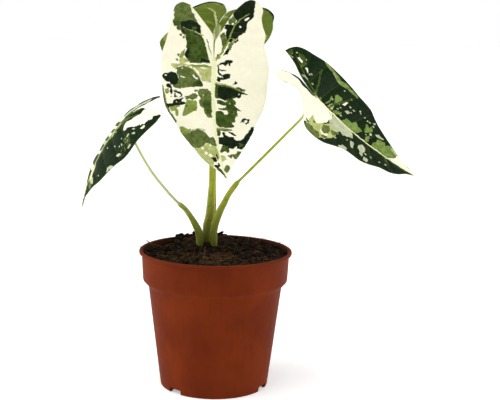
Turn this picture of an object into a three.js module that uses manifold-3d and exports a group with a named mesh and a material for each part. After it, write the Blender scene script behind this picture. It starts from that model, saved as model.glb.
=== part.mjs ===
// Potted variegated giant taro: four arrow-shaped leaf blades on fleshy stalks that rise from a short corm
// in a plastic nursery pot full of peaty potting mix.
// Millimetres, +Z up. The origin is the centre of the pot's underside. The front of the plant faces -Y.
import * as THREE from 'three';
import { mergeVertices } from 'three/addons/utils/BufferGeometryUtils.js';
import Module from 'manifold-3d';

const wasm = await Module();
wasm.setup();

// Fits
const GAP = 0.3;
const CUT_MARGIN = 1;
const SLIVER = 0.03;
const WELD = 1e-5;
const NEARLY_ZERO = 1e-9;

// Pot: a 12 cm round pot with a lip, a collar, a tapered body and a notched foot
const POT_HEIGHT = 108.4;
const RIM_RADIUS = 60;
const LIP_HEIGHT = 2.5;
const LIP_ROUND = 0.5;
const LIP_INNER_ROUND = 0.6;
const LIP_FILLET = 0.2;
const RIM_OPENING_RADIUS = 57;
const COLLAR_TOP_RADIUS = 58;
const COLLAR_FOOT_RADIUS = 56.8;
const COLLAR_FOOT_Z = 84.7;
const BODY_TOP_RADIUS = 52.6;
const BODY_TOP_Z = 81;
const FOOT_RADIUS = 42.5;
const FOOT_ROUND = 1;
const POT_WALL = 1;
const POT_FLOOR = 1.2;
const INNER_STEP_RISE = 0.6;
const ROUND_SEGMENTS = 48;

// Drain channels under the foot, each with a slot in its ceiling
const CHANNEL_ANGLES = [-45, 63, 189];
const CHANNEL_WIDTH = 12;
const CHANNEL_HEIGHT = 4;
const CHANNEL_START = 25;
const CHANNEL_END = 46;
const CEILING = 1.2;
const HUMP_END = 41.6;
const SLOT_START = 33;
const SLOT_LENGTH = 7;
const SLOT_WIDTH = 6;

// Potting mix: heaped at the back and round the stalks, and sunk at the back left
const MIX_LEVEL = 105;
const MIX_EDGE_RADIUS = 56;
const CRUMB_HEIGHT = 0.5;
const MIX_STEP_CLEARANCE = 0.5;
const MIX_RINGS = [7, 14, 21, 28, 35, 42, 48, 53];
const MIX_HEAPS = [
  { x: -8, y: 42, wide: 28, deep: 18, rise: 7 },
  { x: -6, y: 12, wide: 18, deep: 13, rise: 6 },
  { x: -42, y: 32, wide: 18, deep: 16, rise: -3 },
  { x: 20, y: -12, wide: 30, deep: 20, rise: 1.5 },
];

// Corm
const CORM_X = -6.3;
const CORM_Y = 14.5;
const CORM_TOP = 97.7;
const CORM_PROFILE = [
  [0, 66], [5, 67], [9, 71], [11.5, 78], [12, 86], [12, 92], [11.6, CORM_TOP], [0, CORM_TOP],
];
const CORM_SEGMENTS = 16;

// Leaf stalks: centre line x, y, z and radius at each station. The sheath ends in a small step.
const STALK_BASE_Z = 98;
const STALK_SIDES = 10;
const STALK_TIP_TAPER = 0.9;
const BURIED_STATIONS = 4;
const STALK_FRONT = [
  [-7, 15, STALK_BASE_Z, 3.3], [-7.2, 15, 112, 3.4], [-7, 15, 124, 3.4], [-5.3, 15, 132, 3.35],
  [-4.2, 14.6, 145, 3.15], [-3.4, 13.6, 161, 2.7], [-3.3, 12, 178, 2.5], [-3.3, 9.5, 195, 2.4],
  [-3.3, 4.5, 215, 2.3], [-3.3, -3, 238, 2.15],
];
const STALK_BACK = [
  [-4.5, 22.5, STALK_BASE_Z, 3.1], [-4.2, 22.6, 112, 3.2], [-3.2, 23, 136, 3.2], [-3.3, 23.6, 160, 3],
  [-3.2, 26, 190, 2.7], [-2.6, 31, 220, 2.4], [-1.8, 38, 250, 2.2], [-1.2, 44.5, 271, 2],
];
const STALK_LEFT = [
  [-12, 10, STALK_BASE_Z, 3], [-12.3, 10, 110, 3.1], [-13.5, 9.8, 120, 3], [-16.5, 9.3, 126.5, 2.6],
  [-19.4, 9, 131.5, 2.2], [-24.2, 8, 138.6, 1.9], [-28.8, 7.2, 142.8, 1.8], [-30, 6.9, 143.9, 1.15],
  [-33.3, 6, 147.3, 1.05], [-37.8, 4.8, 152.4, 1.1], [-48.9, 1, 166.8, 1.05], [-56, -3, 178.7, 1],
  [-62.3, -7.5, 191.5, 1], [-68.5, -12.6, 203.5, 1.1],
];
const STALK_RIGHT = [
  [-1.4, 9, STALK_BASE_Z, 2.9], [-1.5, 9, 110, 2.9], [-1.7, 9, 120.5, 2.95], [-0.8, 8.8, 126.4, 2.95],
  [1, 8.5, 132.3, 2.9], [3.5, 8.2, 138.7, 2.75], [6.4, 7.8, 144.4, 2.5], [9.5, 7.4, 150.9, 2.2],
  [16.2, 6.2, 160.6, 1.9], [17.4, 6, 162, 1.2], [25.9, 4.5, 171, 1.1], [41.1, 1, 187.5, 1.05],
  [53.8, -2, 201.3, 1], [65.6, -5.5, 214.7, 1], [71.6, -8.4, 224.6, 1.1],
];

// Leaf blades. The junction is where the stalk meets the blade. The blade heads along its azimuth (degrees
// from +X towards +Y) and dips below the level. Bend, crown and twist are in degrees per millimetre; fold
// is in degrees at the midrib. Where a pair is given, the first is for the half on the right of the heading.
// Outlines are flat: [distance along the midrib from the junction, distance across it].
// Lobe lift is the rise of the lobes above the midrib's line, LOBE_LIFT_REACH behind the junction.
const BLADE_THICKNESS = 0.8;
const BLADE_ROWS = 26;
const BLADE_COLUMNS = 5;
const JUNCTION_ROW = 14;
const JUNCTION_ROW_S = 6;
const OUTLINE_STEP = 0.005;
const LOBE_LIFT_REACH = 50;
const BLADE_FRONT = {
  junction: [-3.3, -12, 256], azimuth: -90, dip: 68, roll: 0, tipBend: -0.1, lobeBend: 0.1,
  fold: [0, 0], crown: [0.1, 0.1], twist: 0, sweep: -11, lobeLift: [0, 0], length: 95,
  outer: [
    [[88, 3], [83, 9], [75, 15], [65, 21], [57, 26], [48, 30], [37, 36], [28, 38], [14, 39], [1, 40],
      [-8, 39], [-18, 36], [-29, 34], [-38, 32], [-45, 30], [-48, 25], [-46, 19]],
    [[88, 4], [81, 9], [74, 15], [66, 21], [57, 27], [48, 31], [39, 36], [30, 39], [18, 40.5], [4, 41.8],
      [-6, 40], [-14, 38], [-22, 39], [-29, 37], [-36, 36], [-43, 37], [-49, 33], [-51, 28], [-49, 23]],
  ],
  inner: [
    [[-10, 0.4], [-18, 0.6], [-22, 1.6], [-27, 4.6], [-33, 9], [-40, 14], [-46, 19]],
    [[-10, 0.4], [-16, 0.8], [-21, 3.5], [-27, 7], [-36, 12], [-43, 17], [-49, 23]],
  ],
};
const BLADE_BACK = {
  junction: [-0.7, 50.6, 282], azimuth: 109, dip: 36, roll: -1, tipBend: 0.4, lobeBend: 0.45,
  fold: [6, -7], crown: [0.14, 0.6], twist: 0, sweep: 0, lobeLift: [0, 0], length: 100,
  outer: [
    [[92, 4], [84, 8], [77, 14], [70, 19], [61, 26], [53, 31], [42, 36], [32, 41], [19, 44], [7, 46],
      [-5, 45], [-15, 42], [-26, 39], [-32, 34], [-36, 28], [-36, 21], [-33, 14]],
    [[92, 4], [84, 8], [77, 14], [70, 19], [61, 26], [53, 31], [42, 36], [32, 40], [24, 44], [15, 47],
      [9, 45.5], [4, 42.5], [-5, 39.5], [-14, 37.5], [-25, 34], [-32, 30], [-37, 24], [-39, 19], [-38, 13]],
  ],
  inner: [
    [[-8, 0.5], [-14, 1], [-19, 1.7], [-22, 2.8], [-26, 6], [-33, 14]],
    [[-8, 0.1], [-14, -0.3], [-19, -1], [-22.5, -0.5], [-27, 1.6], [-34, 6], [-38, 13]],
  ],
};
const BLADE_LEFT = {
  junction: [-71.9, -16.4, 210], azimuth: -190, dip: 49, roll: -6, tipBend: 0.42, lobeBend: 1.2,
  fold: [-10, 15], crown: [0.44, 1.1], twist: -0.11, sweep: -8, lobeLift: [0, 0], length: 74,
  outer: [
    [[67, 0.6], [60, 1.4], [54, 6.5], [43, 18.5], [32, 24], [23, 28], [15, 30], [6, 31], [-2, 31], [-10, 30],
      [-18, 28], [-25, 25], [-30, 20], [-31, 15]],
    [[69, 1], [65, 3.3], [60, 8], [55, 12], [47, 18.7], [35, 25], [26, 29], [18, 32.5], [11, 34],
      [2, 34.3], [-9, 33.7], [-19, 32.4], [-28, 30], [-34.5, 26.5], [-38.7, 20.5]],
  ],
  inner: [
    [[-7, 1.6], [-14, 1.2], [-21, 1.5], [-26, 5.5], [-28.5, 10.5], [-31, 15]],
    [[-8, -0.6], [-12, 0.6], [-17, 2.2], [-20, 3.4], [-22.6, 7], [-25, 9.3], [-30, 12], [-35, 15.2],
      [-38.7, 20.5]],
  ],
};
const BLADE_RIGHT = {
  junction: [75.1, -10, 229.9], azimuth: 2, dip: 46, roll: 27, tipBend: -0.18, lobeBend: 0.36,
  fold: [-8, -7], crown: [0.3, -0.1], twist: 0.04, sweep: 0.7, lobeLift: [0, -3], length: 99,
  outer: [
    [[91, 5], [84, 13], [77, 18], [68, 21], [59, 27], [51, 31], [43, 32], [36, 34], [28, 40], [20, 46],
      [11, 49], [4, 49], [-1, 43], [-6, 34], [-10, 24], [-13, 17], [-18, 15], [-24, 18], [-30, 22],
      [-36, 22], [-38, 19]],
    [[93, 4], [86, 7], [80, 11], [74, 15], [66, 20], [56, 27], [50, 33], [45, 38], [37, 40.8], [29, 42.2],
      [20, 44.4], [10, 45.6], [0, 45.4], [-9, 44.5], [-19, 41.7], [-25, 40.6], [-31, 37.6], [-35, 32],
      [-38, 25]],
  ],
  inner: [
    [[-3, -0.2], [-8, -1], [-12, -2.4], [-16, -4.4], [-18, -5.4], [-20, -5.2], [-23, -4.2], [-26, -1.6],
      [-31, 2.2], [-35, 6.7], [-37.5, 12.5], [-38, 19]],
    [[-10, 2], [-16, 5], [-22, 10], [-27, 16], [-34, 22], [-38, 25]],
  ],
};

const radians = THREE.MathUtils.degToRad;

// Geometry helpers

// Keeps only positions, welds shared corners, drops collapsed triangles and turns the faces outward.
function closedBody(geometry) {
  const bare = geometry.clone();
  bare.deleteAttribute('normal');
  bare.deleteAttribute('uv');
  const welded = mergeVertices(bare, WELD);
  const source = welded.index.array;
  const kept = [];
  for (let i = 0; i < source.length; i += 3) {
    const [a, b, c] = [source[i], source[i + 1], source[i + 2]];
    if (a !== b && b !== c && c !== a) kept.push(a, b, c);
  }
  const position = welded.attributes.position;
  const corner = [new THREE.Vector3(), new THREE.Vector3(), new THREE.Vector3()];
  let volume = 0;
  for (let i = 0; i < kept.length; i += 3) {
    corner.forEach((vector, k) => vector.fromBufferAttribute(position, kept[i + k]));
    volume += corner[0].dot(corner[1].clone().cross(corner[2]));
  }
  if (volume < 0) {
    for (let i = 0; i < kept.length; i += 3) [kept[i + 1], kept[i + 2]] = [kept[i + 2], kept[i + 1]];
  }
  welded.setIndex(kept);
  return welded;
}

function toSolid(geometry) {
  const body = closedBody(geometry);
  const vertProperties = new Float32Array(body.attributes.position.array);
  const triVerts = new Uint32Array(body.index.array);
  return new wasm.Manifold(new wasm.Mesh({ numProp: 3, vertProperties, triVerts }));
}

function fromSolid(solid) {
  const mesh = solid.getMesh();
  const geometry = new THREE.BufferGeometry();
  geometry.setAttribute('position', new THREE.BufferAttribute(new Float32Array(mesh.vertProperties), 3));
  geometry.setIndex(Array.from(mesh.triVerts));
  return geometry;
}

function revolve(profile, segments) {
  const points = profile.map(([radius, z]) => new THREE.Vector2(radius, z));
  return closedBody(new THREE.LatheGeometry(points, segments).rotateX(Math.PI / 2));
}

// A box that lies along a radius of the pot, from one radius to another and from one height to another.
function radialBox(angle, width, startRadius, endRadius, bottom, top) {
  const box = new THREE.BoxGeometry(endRadius - startRadius, width, top - bottom);
  box.translate((startRadius + endRadius) / 2, 0, (bottom + top) / 2);
  return box.rotateZ(radians(angle - 90));
}

function pointsOf(values) {
  return values.map((value) => new THREE.Vector3(value[0], value[1], value[2] ?? 0));
}

// Pot

function wallRadius(z) {
  return FOOT_RADIUS + (BODY_TOP_RADIUS - FOOT_RADIUS) * z / BODY_TOP_Z;
}

function potGeometry() {
  const lipFoot = POT_HEIGHT - LIP_HEIGHT;
  let pot = toSolid(revolve([
    [0, 0], [FOOT_RADIUS - FOOT_ROUND, 0], [wallRadius(FOOT_ROUND), FOOT_ROUND],
    [BODY_TOP_RADIUS, BODY_TOP_Z], [COLLAR_FOOT_RADIUS, COLLAR_FOOT_Z],
    [COLLAR_TOP_RADIUS, lipFoot - LIP_FILLET],
    [RIM_RADIUS - LIP_ROUND, lipFoot], [RIM_RADIUS, lipFoot + LIP_ROUND],
    [RIM_RADIUS, POT_HEIGHT - LIP_ROUND],
    [RIM_RADIUS - LIP_ROUND, POT_HEIGHT], [RIM_OPENING_RADIUS + LIP_INNER_ROUND, POT_HEIGHT],
    [RIM_OPENING_RADIUS, POT_HEIGHT - LIP_INNER_ROUND],
    [COLLAR_FOOT_RADIUS - POT_WALL, COLLAR_FOOT_Z + INNER_STEP_RISE],
    [BODY_TOP_RADIUS - POT_WALL, BODY_TOP_Z + INNER_STEP_RISE],
    [wallRadius(POT_FLOOR) - POT_WALL, POT_FLOOR], [0, POT_FLOOR],
  ], ROUND_SEGMENTS));
  for (const angle of CHANNEL_ANGLES) {
    const humpWidth = CHANNEL_WIDTH + 2 * CEILING;
    const humpTop = CHANNEL_HEIGHT + CEILING;
    pot = pot.add(toSolid(radialBox(angle, humpWidth, CHANNEL_START - CEILING, HUMP_END, 0, humpTop)));
  }
  for (const angle of CHANNEL_ANGLES) {
    const channel = radialBox(angle, CHANNEL_WIDTH, CHANNEL_START, CHANNEL_END, -CUT_MARGIN, CHANNEL_HEIGHT);
    const slotTop = CHANNEL_HEIGHT + CEILING + CUT_MARGIN;
    const slotEnd = SLOT_START + SLOT_LENGTH;
    const slot = radialBox(angle, SLOT_WIDTH, SLOT_START, slotEnd, CHANNEL_HEIGHT - CUT_MARGIN, slotTop);
    pot = pot.subtract(toSolid(channel)).subtract(toSolid(slot));
  }
  return fromSolid(pot);
}

// Corm

function cormGeometry(extra) {
  const middle = (CORM_PROFILE[0][1] + CORM_TOP) / 2;
  const profile = CORM_PROFILE.map(([radius, z]) => [
    radius > 0 ? radius + extra : 0,
    z + Math.sign(z - middle) * extra,
  ]);
  return revolve(profile, CORM_SEGMENTS).translate(CORM_X, CORM_Y, 0);
}

// Leaf blades

// A frame on the blade's bent midrib at distance s from the junction.
function midribFrame(blade, s) {
  const azimuth = radians(blade.azimuth);
  const dip = radians(blade.dip);
  const heading = new THREE.Vector3(
    Math.cos(azimuth) * Math.cos(dip), Math.sin(azimuth) * Math.cos(dip), -Math.sin(dip));
  const side = heading.clone().cross(new THREE.Vector3(0, 0, 1)).normalize();
  const normal = side.clone().cross(heading);
  const bend = radians(s > 0 ? blade.tipBend : blade.lobeBend);
  const turn = bend * s;
  const along = Math.abs(bend) > NEARLY_ZERO ? Math.sin(turn) / bend : s;
  const drop = Math.abs(bend) > NEARLY_ZERO ? (1 - Math.cos(turn)) / bend : 0;
  const origin = new THREE.Vector3(...blade.junction).addScaledVector(heading, along);
  origin.addScaledVector(normal, -drop);
  const tangent = heading.clone().multiplyScalar(Math.cos(turn)).addScaledVector(normal, -Math.sin(turn));
  const up = heading.clone().multiplyScalar(Math.sin(turn)).addScaledVector(normal, Math.cos(turn));
  const roll = radians(blade.roll + blade.twist * s);
  return { origin, side: side.applyAxisAngle(tangent, roll), up: up.applyAxisAngle(tangent, roll) };
}

// The point of the blade's middle surface at s along and t across, on half 0 (right) or half 1 (left).
function bladePoint(blade, s, t, half) {
  const { origin, side, up } = midribFrame(blade, s);
  const fold = radians(blade.fold[half]);
  const crown = radians(blade.crown[half]);
  const across = (Math.sin(fold + crown * t) - Math.sin(fold)) / crown;
  const drop = (Math.cos(fold) - Math.cos(fold + crown * t)) / crown;
  const sign = half === 0 ? 1 : -1;
  const sway = s > 0 ? blade.sweep * (s / blade.length) ** 3 : 0;
  const lift = s < 0 ? blade.lobeLift[half] * (s / LOBE_LIFT_REACH) ** 2 : 0;
  return origin.addScaledVector(side, sign * across + sway).addScaledVector(up, lift - drop);
}

// The flat curves of one half: the outer margin from the tip to the lobe's end, and the midrib and inner
// margin from the tip to the same point, paired row by row.
function bladeRows(blade, half) {
  const tip = [blade.length, 0];
  const outer = new THREE.CatmullRomCurve3(pointsOf([tip, ...blade.outer[half]]), false, 'centripetal');
  const inner = new THREE.CatmullRomCurve3(pointsOf([[0, 0], ...blade.inner[half]]), false, 'centripetal');
  const lobeRows = BLADE_ROWS - JUNCTION_ROW;
  let waist = 0;
  while (outer.getPointAt(waist).x > JUNCTION_ROW_S) waist += OUTLINE_STEP;
  const rows = [];
  for (let row = 0; row <= BLADE_ROWS; row += 1) {
    if (row <= JUNCTION_ROW) {
      const part = row / JUNCTION_ROW;
      const start = new THREE.Vector3(blade.length * (1 - part), 0, 0);
      rows.push({ start, end: outer.getPointAt(waist * part) });
    } else {
      const part = (row - JUNCTION_ROW) / lobeRows;
      rows.push({ start: inner.getPointAt(part), end: outer.getPointAt(waist + (1 - waist) * part) });
    }
  }
  return rows;
}

function bladeGeometry(blade) {
  const points = [];
  const faces = [];
  const shared = new Map();
  const indexOf = (key, make) => {
    if (!shared.has(key)) {
      shared.set(key, points.length);
      points.push(make());
    }
    return shared.get(key);
  };
  for (const half of [0, 1]) {
    const rows = bladeRows(blade, half);
    const vertex = (row, column) => {
      const { start, end } = rows[row];
      const mix = column / BLADE_COLUMNS;
      const s = start.x + (end.x - start.x) * mix;
      const t = start.y + (end.y - start.y) * mix;
      let key = `${half} ${row} ${column}`;
      if (row === 0) key = 'tip';
      else if (column === 0 && row <= JUNCTION_ROW) key = `midrib ${row}`;
      else if (row === BLADE_ROWS) key = `lobe ${half}`;
      return indexOf(key, () => bladePoint(blade, s, t, half));
    };
    for (let row = 0; row < BLADE_ROWS; row += 1) {
      for (let column = 0; column < BLADE_COLUMNS; column += 1) {
        const [a, b] = [vertex(row, column), vertex(row, column + 1)];
        const [c, d] = [vertex(row + 1, column + 1), vertex(row + 1, column)];
        const quad = half === 0 ? [[a, b, c], [a, c, d]] : [[a, c, b], [a, d, c]];
        for (const [i, j, k] of quad) {
          if (i !== j && j !== k && k !== i) faces.push([i, j, k]);
        }
      }
    }
  }
  return thicken(points, faces, BLADE_THICKNESS);
}

// Gives an open sheet a thickness: both faces, and a wall along every free edge.
function thicken(points, faces, thickness) {
  const normals = points.map(() => new THREE.Vector3());
  for (const [i, j, k] of faces) {
    const normal = points[j].clone().sub(points[i]).cross(points[k].clone().sub(points[i]));
    for (const n of [i, j, k]) normals[n].add(normal);
  }
  const count = points.length;
  const coordinates = [];
  for (const direction of [0.5, -0.5]) {
    points.forEach((point, n) => {
      const step = normals[n].clone().normalize().multiplyScalar(direction * thickness);
      coordinates.push(...point.clone().add(step).toArray());
    });
  }
  const edges = new Set();
  for (const [i, j, k] of faces) {
    for (const [p, q] of [[i, j], [j, k], [k, i]]) edges.add(`${p} ${q}`);
  }
  const index = [];
  for (const [i, j, k] of faces) index.push(i, j, k, count + i, count + k, count + j);
  for (const edge of edges) {
    const [p, q] = edge.split(' ').map(Number);
    if (!edges.has(`${q} ${p}`)) index.push(p, count + p, count + q, p, count + q, q);
  }
  const geometry = new THREE.BufferGeometry();
  geometry.setAttribute('position', new THREE.Float32BufferAttribute(coordinates, 3));
  geometry.setIndex(index);
  return closedBody(geometry);
}

// Leaf stalks

// A tapered round stalk. Its foot is level. Its top lies flat against the underside of the blade it carries.
function stalkGeometry(stations, blade, extra = 0) {
  const rings = [];
  const centres = pointsOf(stations);
  const path = new THREE.CatmullRomCurve3(centres, false, 'centripetal');
  const depth = new THREE.Vector3(0, 1, 0);
  stations.forEach((station, n) => {
    const tangent = n === 0 ? new THREE.Vector3(0, 0, 1) : path.getTangent(n / (stations.length - 1));
    const side = depth.clone().cross(tangent).normalize();
    rings.push({ centre: centres[n], side, front: tangent.clone().cross(side), radius: station[3] + extra });
  });
  if (blade) {
    const { origin, side, up } = midribFrame(blade, 0);
    const radius = stations.at(-1)[3] * STALK_TIP_TAPER;
    const foldDrop = radius * Math.sin(radians(Math.max(0, ...blade.fold)));
    const centre = origin.addScaledVector(up, -(BLADE_THICKNESS / 2 + GAP + foldDrop));
    const front = up.clone().cross(side);
    rings.push({ centre, side, front, radius });
    alignRing(rings.at(-1), rings.at(-2));
  }
  const coordinates = [];
  for (const { centre, side, front, radius } of rings) {
    for (let n = 0; n < STALK_SIDES; n += 1) {
      const angle = 2 * Math.PI * n / STALK_SIDES;
      const point = centre.clone().addScaledVector(side, radius * Math.cos(angle));
      coordinates.push(...point.addScaledVector(front, radius * Math.sin(angle)).toArray());
    }
  }
  const index = [];
  for (let row = 0; row < rings.length - 1; row += 1) {
    for (let n = 0; n < STALK_SIDES; n += 1) {
      const next = (n + 1) % STALK_SIDES;
      const [a, b] = [row * STALK_SIDES + n, row * STALK_SIDES + next];
      const [c, d] = [b + STALK_SIDES, a + STALK_SIDES];
      index.push(a, b, c, a, c, d);
    }
  }
  const last = (rings.length - 1) * STALK_SIDES;
  for (let n = 1; n < STALK_SIDES - 1; n += 1) {
    index.push(0, n + 1, n, last, last + n, last + n + 1);
  }
  const geometry = new THREE.BufferGeometry();
  geometry.setAttribute('position', new THREE.Float32BufferAttribute(coordinates, 3));
  geometry.setIndex(index);
  return closedBody(geometry);
}

// Turns the top ring about its own axis so that it lines up with the ring below without a twist.
function alignRing(ring, below) {
  const facing = below.side.clone();
  const axis = ring.side.clone().cross(ring.front);
  facing.addScaledVector(axis, -facing.dot(axis)).normalize();
  const sense = Math.sign(axis.dot(below.side.clone().cross(below.front)));
  ring.side = facing;
  ring.front = axis.clone().cross(facing).multiplyScalar(sense || 1);
}

// Potting mix

function mixHeight(x, y) {
  let z = MIX_LEVEL;
  for (const heap of MIX_HEAPS) {
    z += heap.rise * Math.exp(-(((x - heap.x) / heap.wide) ** 2) - ((y - heap.y) / heap.deep) ** 2);
  }
  const crumbs = Math.sin(0.31 * x + 0.9) * Math.sin(0.27 * y + 0.4) + 0.6 * Math.sin(0.55 * x - 0.4 * y);
  return z + CRUMB_HEIGHT * crumbs;
}

function mixGeometry() {
  const bottom = POT_FLOOR + GAP;
  const stepRise = INNER_STEP_RISE + MIX_STEP_CLEARANCE;
  const rings = MIX_RINGS.map((radius) => ({ radius, z: null }));
  rings.push({ radius: MIX_EDGE_RADIUS, z: null });
  rings.push({ radius: COLLAR_FOOT_RADIUS - POT_WALL - GAP, z: COLLAR_FOOT_Z + stepRise });
  rings.push({ radius: BODY_TOP_RADIUS - POT_WALL - GAP, z: BODY_TOP_Z + stepRise });
  rings.push({ radius: wallRadius(bottom) - POT_WALL - 2 * GAP, z: bottom });
  const coordinates = [0, 0, mixHeight(0, 0), 0, 0, bottom];
  for (const ring of rings) {
    for (let n = 0; n < ROUND_SEGMENTS; n += 1) {
      const angle = 2 * Math.PI * n / ROUND_SEGMENTS;
      const [x, y] = [ring.radius * Math.sin(angle), -ring.radius * Math.cos(angle)];
      coordinates.push(x, y, ring.z ?? mixHeight(x, y));
    }
  }
  const index = [];
  const at = (row, n) => 2 + row * ROUND_SEGMENTS + n % ROUND_SEGMENTS;
  for (let n = 0; n < ROUND_SEGMENTS; n += 1) {
    index.push(0, at(0, n), at(0, n + 1));
    index.push(1, at(rings.length - 1, n + 1), at(rings.length - 1, n));
    for (let row = 0; row < rings.length - 1; row += 1) {
      index.push(at(row, n), at(row + 1, n), at(row + 1, n + 1));
      index.push(at(row, n), at(row + 1, n + 1), at(row, n + 1));
    }
  }
  const geometry = new THREE.BufferGeometry();
  geometry.setAttribute('position', new THREE.Float32BufferAttribute(coordinates, 3));
  geometry.setIndex(index);
  let mix = toSolid(geometry).subtract(toSolid(cormGeometry(GAP)));
  for (const stations of [STALK_FRONT, STALK_BACK, STALK_LEFT, STALK_RIGHT]) {
    const [x, y, z, radius] = stations[0];
    const shaft = [[x, y, z - 2 * GAP, radius], ...stations.slice(1)];
    mix = mix.subtract(toSolid(stalkGeometry(shaft.slice(0, BURIED_STATIONS), null, GAP)));
  }
  for (const angle of CHANNEL_ANGLES) {
    const width = CHANNEL_WIDTH + 2 * CEILING + 2 * GAP;
    const start = CHANNEL_START - CEILING - GAP;
    const top = CHANNEL_HEIGHT + CEILING + GAP;
    mix = mix.subtract(toSolid(radialBox(angle, width, start, CHANNEL_END, 0, top)));
  }
  return fromSolid(mix.simplify(SLIVER));
}

// Assembly

const potPlastic = { color: 0x82351c, roughness: 0.45, metalness: 0 };
const peat = { color: 0x241811, roughness: 0.95, metalness: 0 };
const cormSkin = { color: 0x6b5138, roughness: 0.85, metalness: 0 };
const stalkSkin = { color: 0x8c9b3c, roughness: 0.45, metalness: 0 };
const paleBlade = { color: 0xb9c08a, roughness: 0.4, metalness: 0 };
const greenBlade = { color: 0x4c6a34, roughness: 0.4, metalness: 0 };
const darkBlade = { color: 0x24402a, roughness: 0.4, metalness: 0 };

const group = new THREE.Group();

function place(name, geometry, look) {
  const mesh = new THREE.Mesh(geometry, new THREE.MeshStandardMaterial(look));
  mesh.name = name;
  group.add(mesh);
}

place('pot', potGeometry(), potPlastic);
place('potting_mix', mixGeometry(), peat);
place('corm', cormGeometry(0), cormSkin);
place('stalk_front', stalkGeometry(STALK_FRONT, BLADE_FRONT), stalkSkin);
place('stalk_back', stalkGeometry(STALK_BACK, BLADE_BACK), stalkSkin);
place('stalk_left', stalkGeometry(STALK_LEFT, BLADE_LEFT), stalkSkin);
place('stalk_right', stalkGeometry(STALK_RIGHT, BLADE_RIGHT), stalkSkin);
place('blade_front', bladeGeometry(BLADE_FRONT), paleBlade);
place('blade_back', bladeGeometry(BLADE_BACK), greenBlade);
place('blade_left', bladeGeometry(BLADE_LEFT), darkBlade);
place('blade_right', bladeGeometry(BLADE_RIGHT), darkBlade);

export default group;
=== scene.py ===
"""A potted variegated giant taro: its leaf blades, stalks, corm, potting mix and nursery pot.

Tables are in millimetres and degrees, as on a drawing. Meshes are in metres. +Z is up and the front faces -Y.
"""

import math
import random

import bmesh
import bpy
import numpy as np
from mathutils import Matrix, Vector, noise


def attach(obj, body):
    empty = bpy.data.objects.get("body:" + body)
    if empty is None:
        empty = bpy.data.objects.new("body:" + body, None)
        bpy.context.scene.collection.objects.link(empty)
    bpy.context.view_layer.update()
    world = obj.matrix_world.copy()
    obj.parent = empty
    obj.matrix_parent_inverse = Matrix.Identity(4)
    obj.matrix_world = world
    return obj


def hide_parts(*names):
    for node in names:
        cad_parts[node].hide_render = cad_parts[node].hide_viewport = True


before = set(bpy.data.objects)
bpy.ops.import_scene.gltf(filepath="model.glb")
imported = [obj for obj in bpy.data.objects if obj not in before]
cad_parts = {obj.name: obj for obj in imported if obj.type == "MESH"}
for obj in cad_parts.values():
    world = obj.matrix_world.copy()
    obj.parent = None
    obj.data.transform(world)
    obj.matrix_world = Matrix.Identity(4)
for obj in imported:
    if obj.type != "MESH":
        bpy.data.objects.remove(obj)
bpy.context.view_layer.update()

MM = 0.001
UP = np.array([0.0, 0.0, 1.0])
rng = random.Random(7)

# Leaf blades. A blade's junction is where its stalk meets it. Outlines, veins and marks lie in the flat leaf:
# the first number runs from the junction along the midrib towards the tip, and the second across it, where
# the half on the right of the heading is positive.

# Marks, in the order in which they are laid on. A patch is a polygon. A stroke has a half-width as the third
# number of each point, and a stroke of one point is a round spot.


def spots(tone, *places):
    return [(tone, [place]) for place in places]


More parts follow.
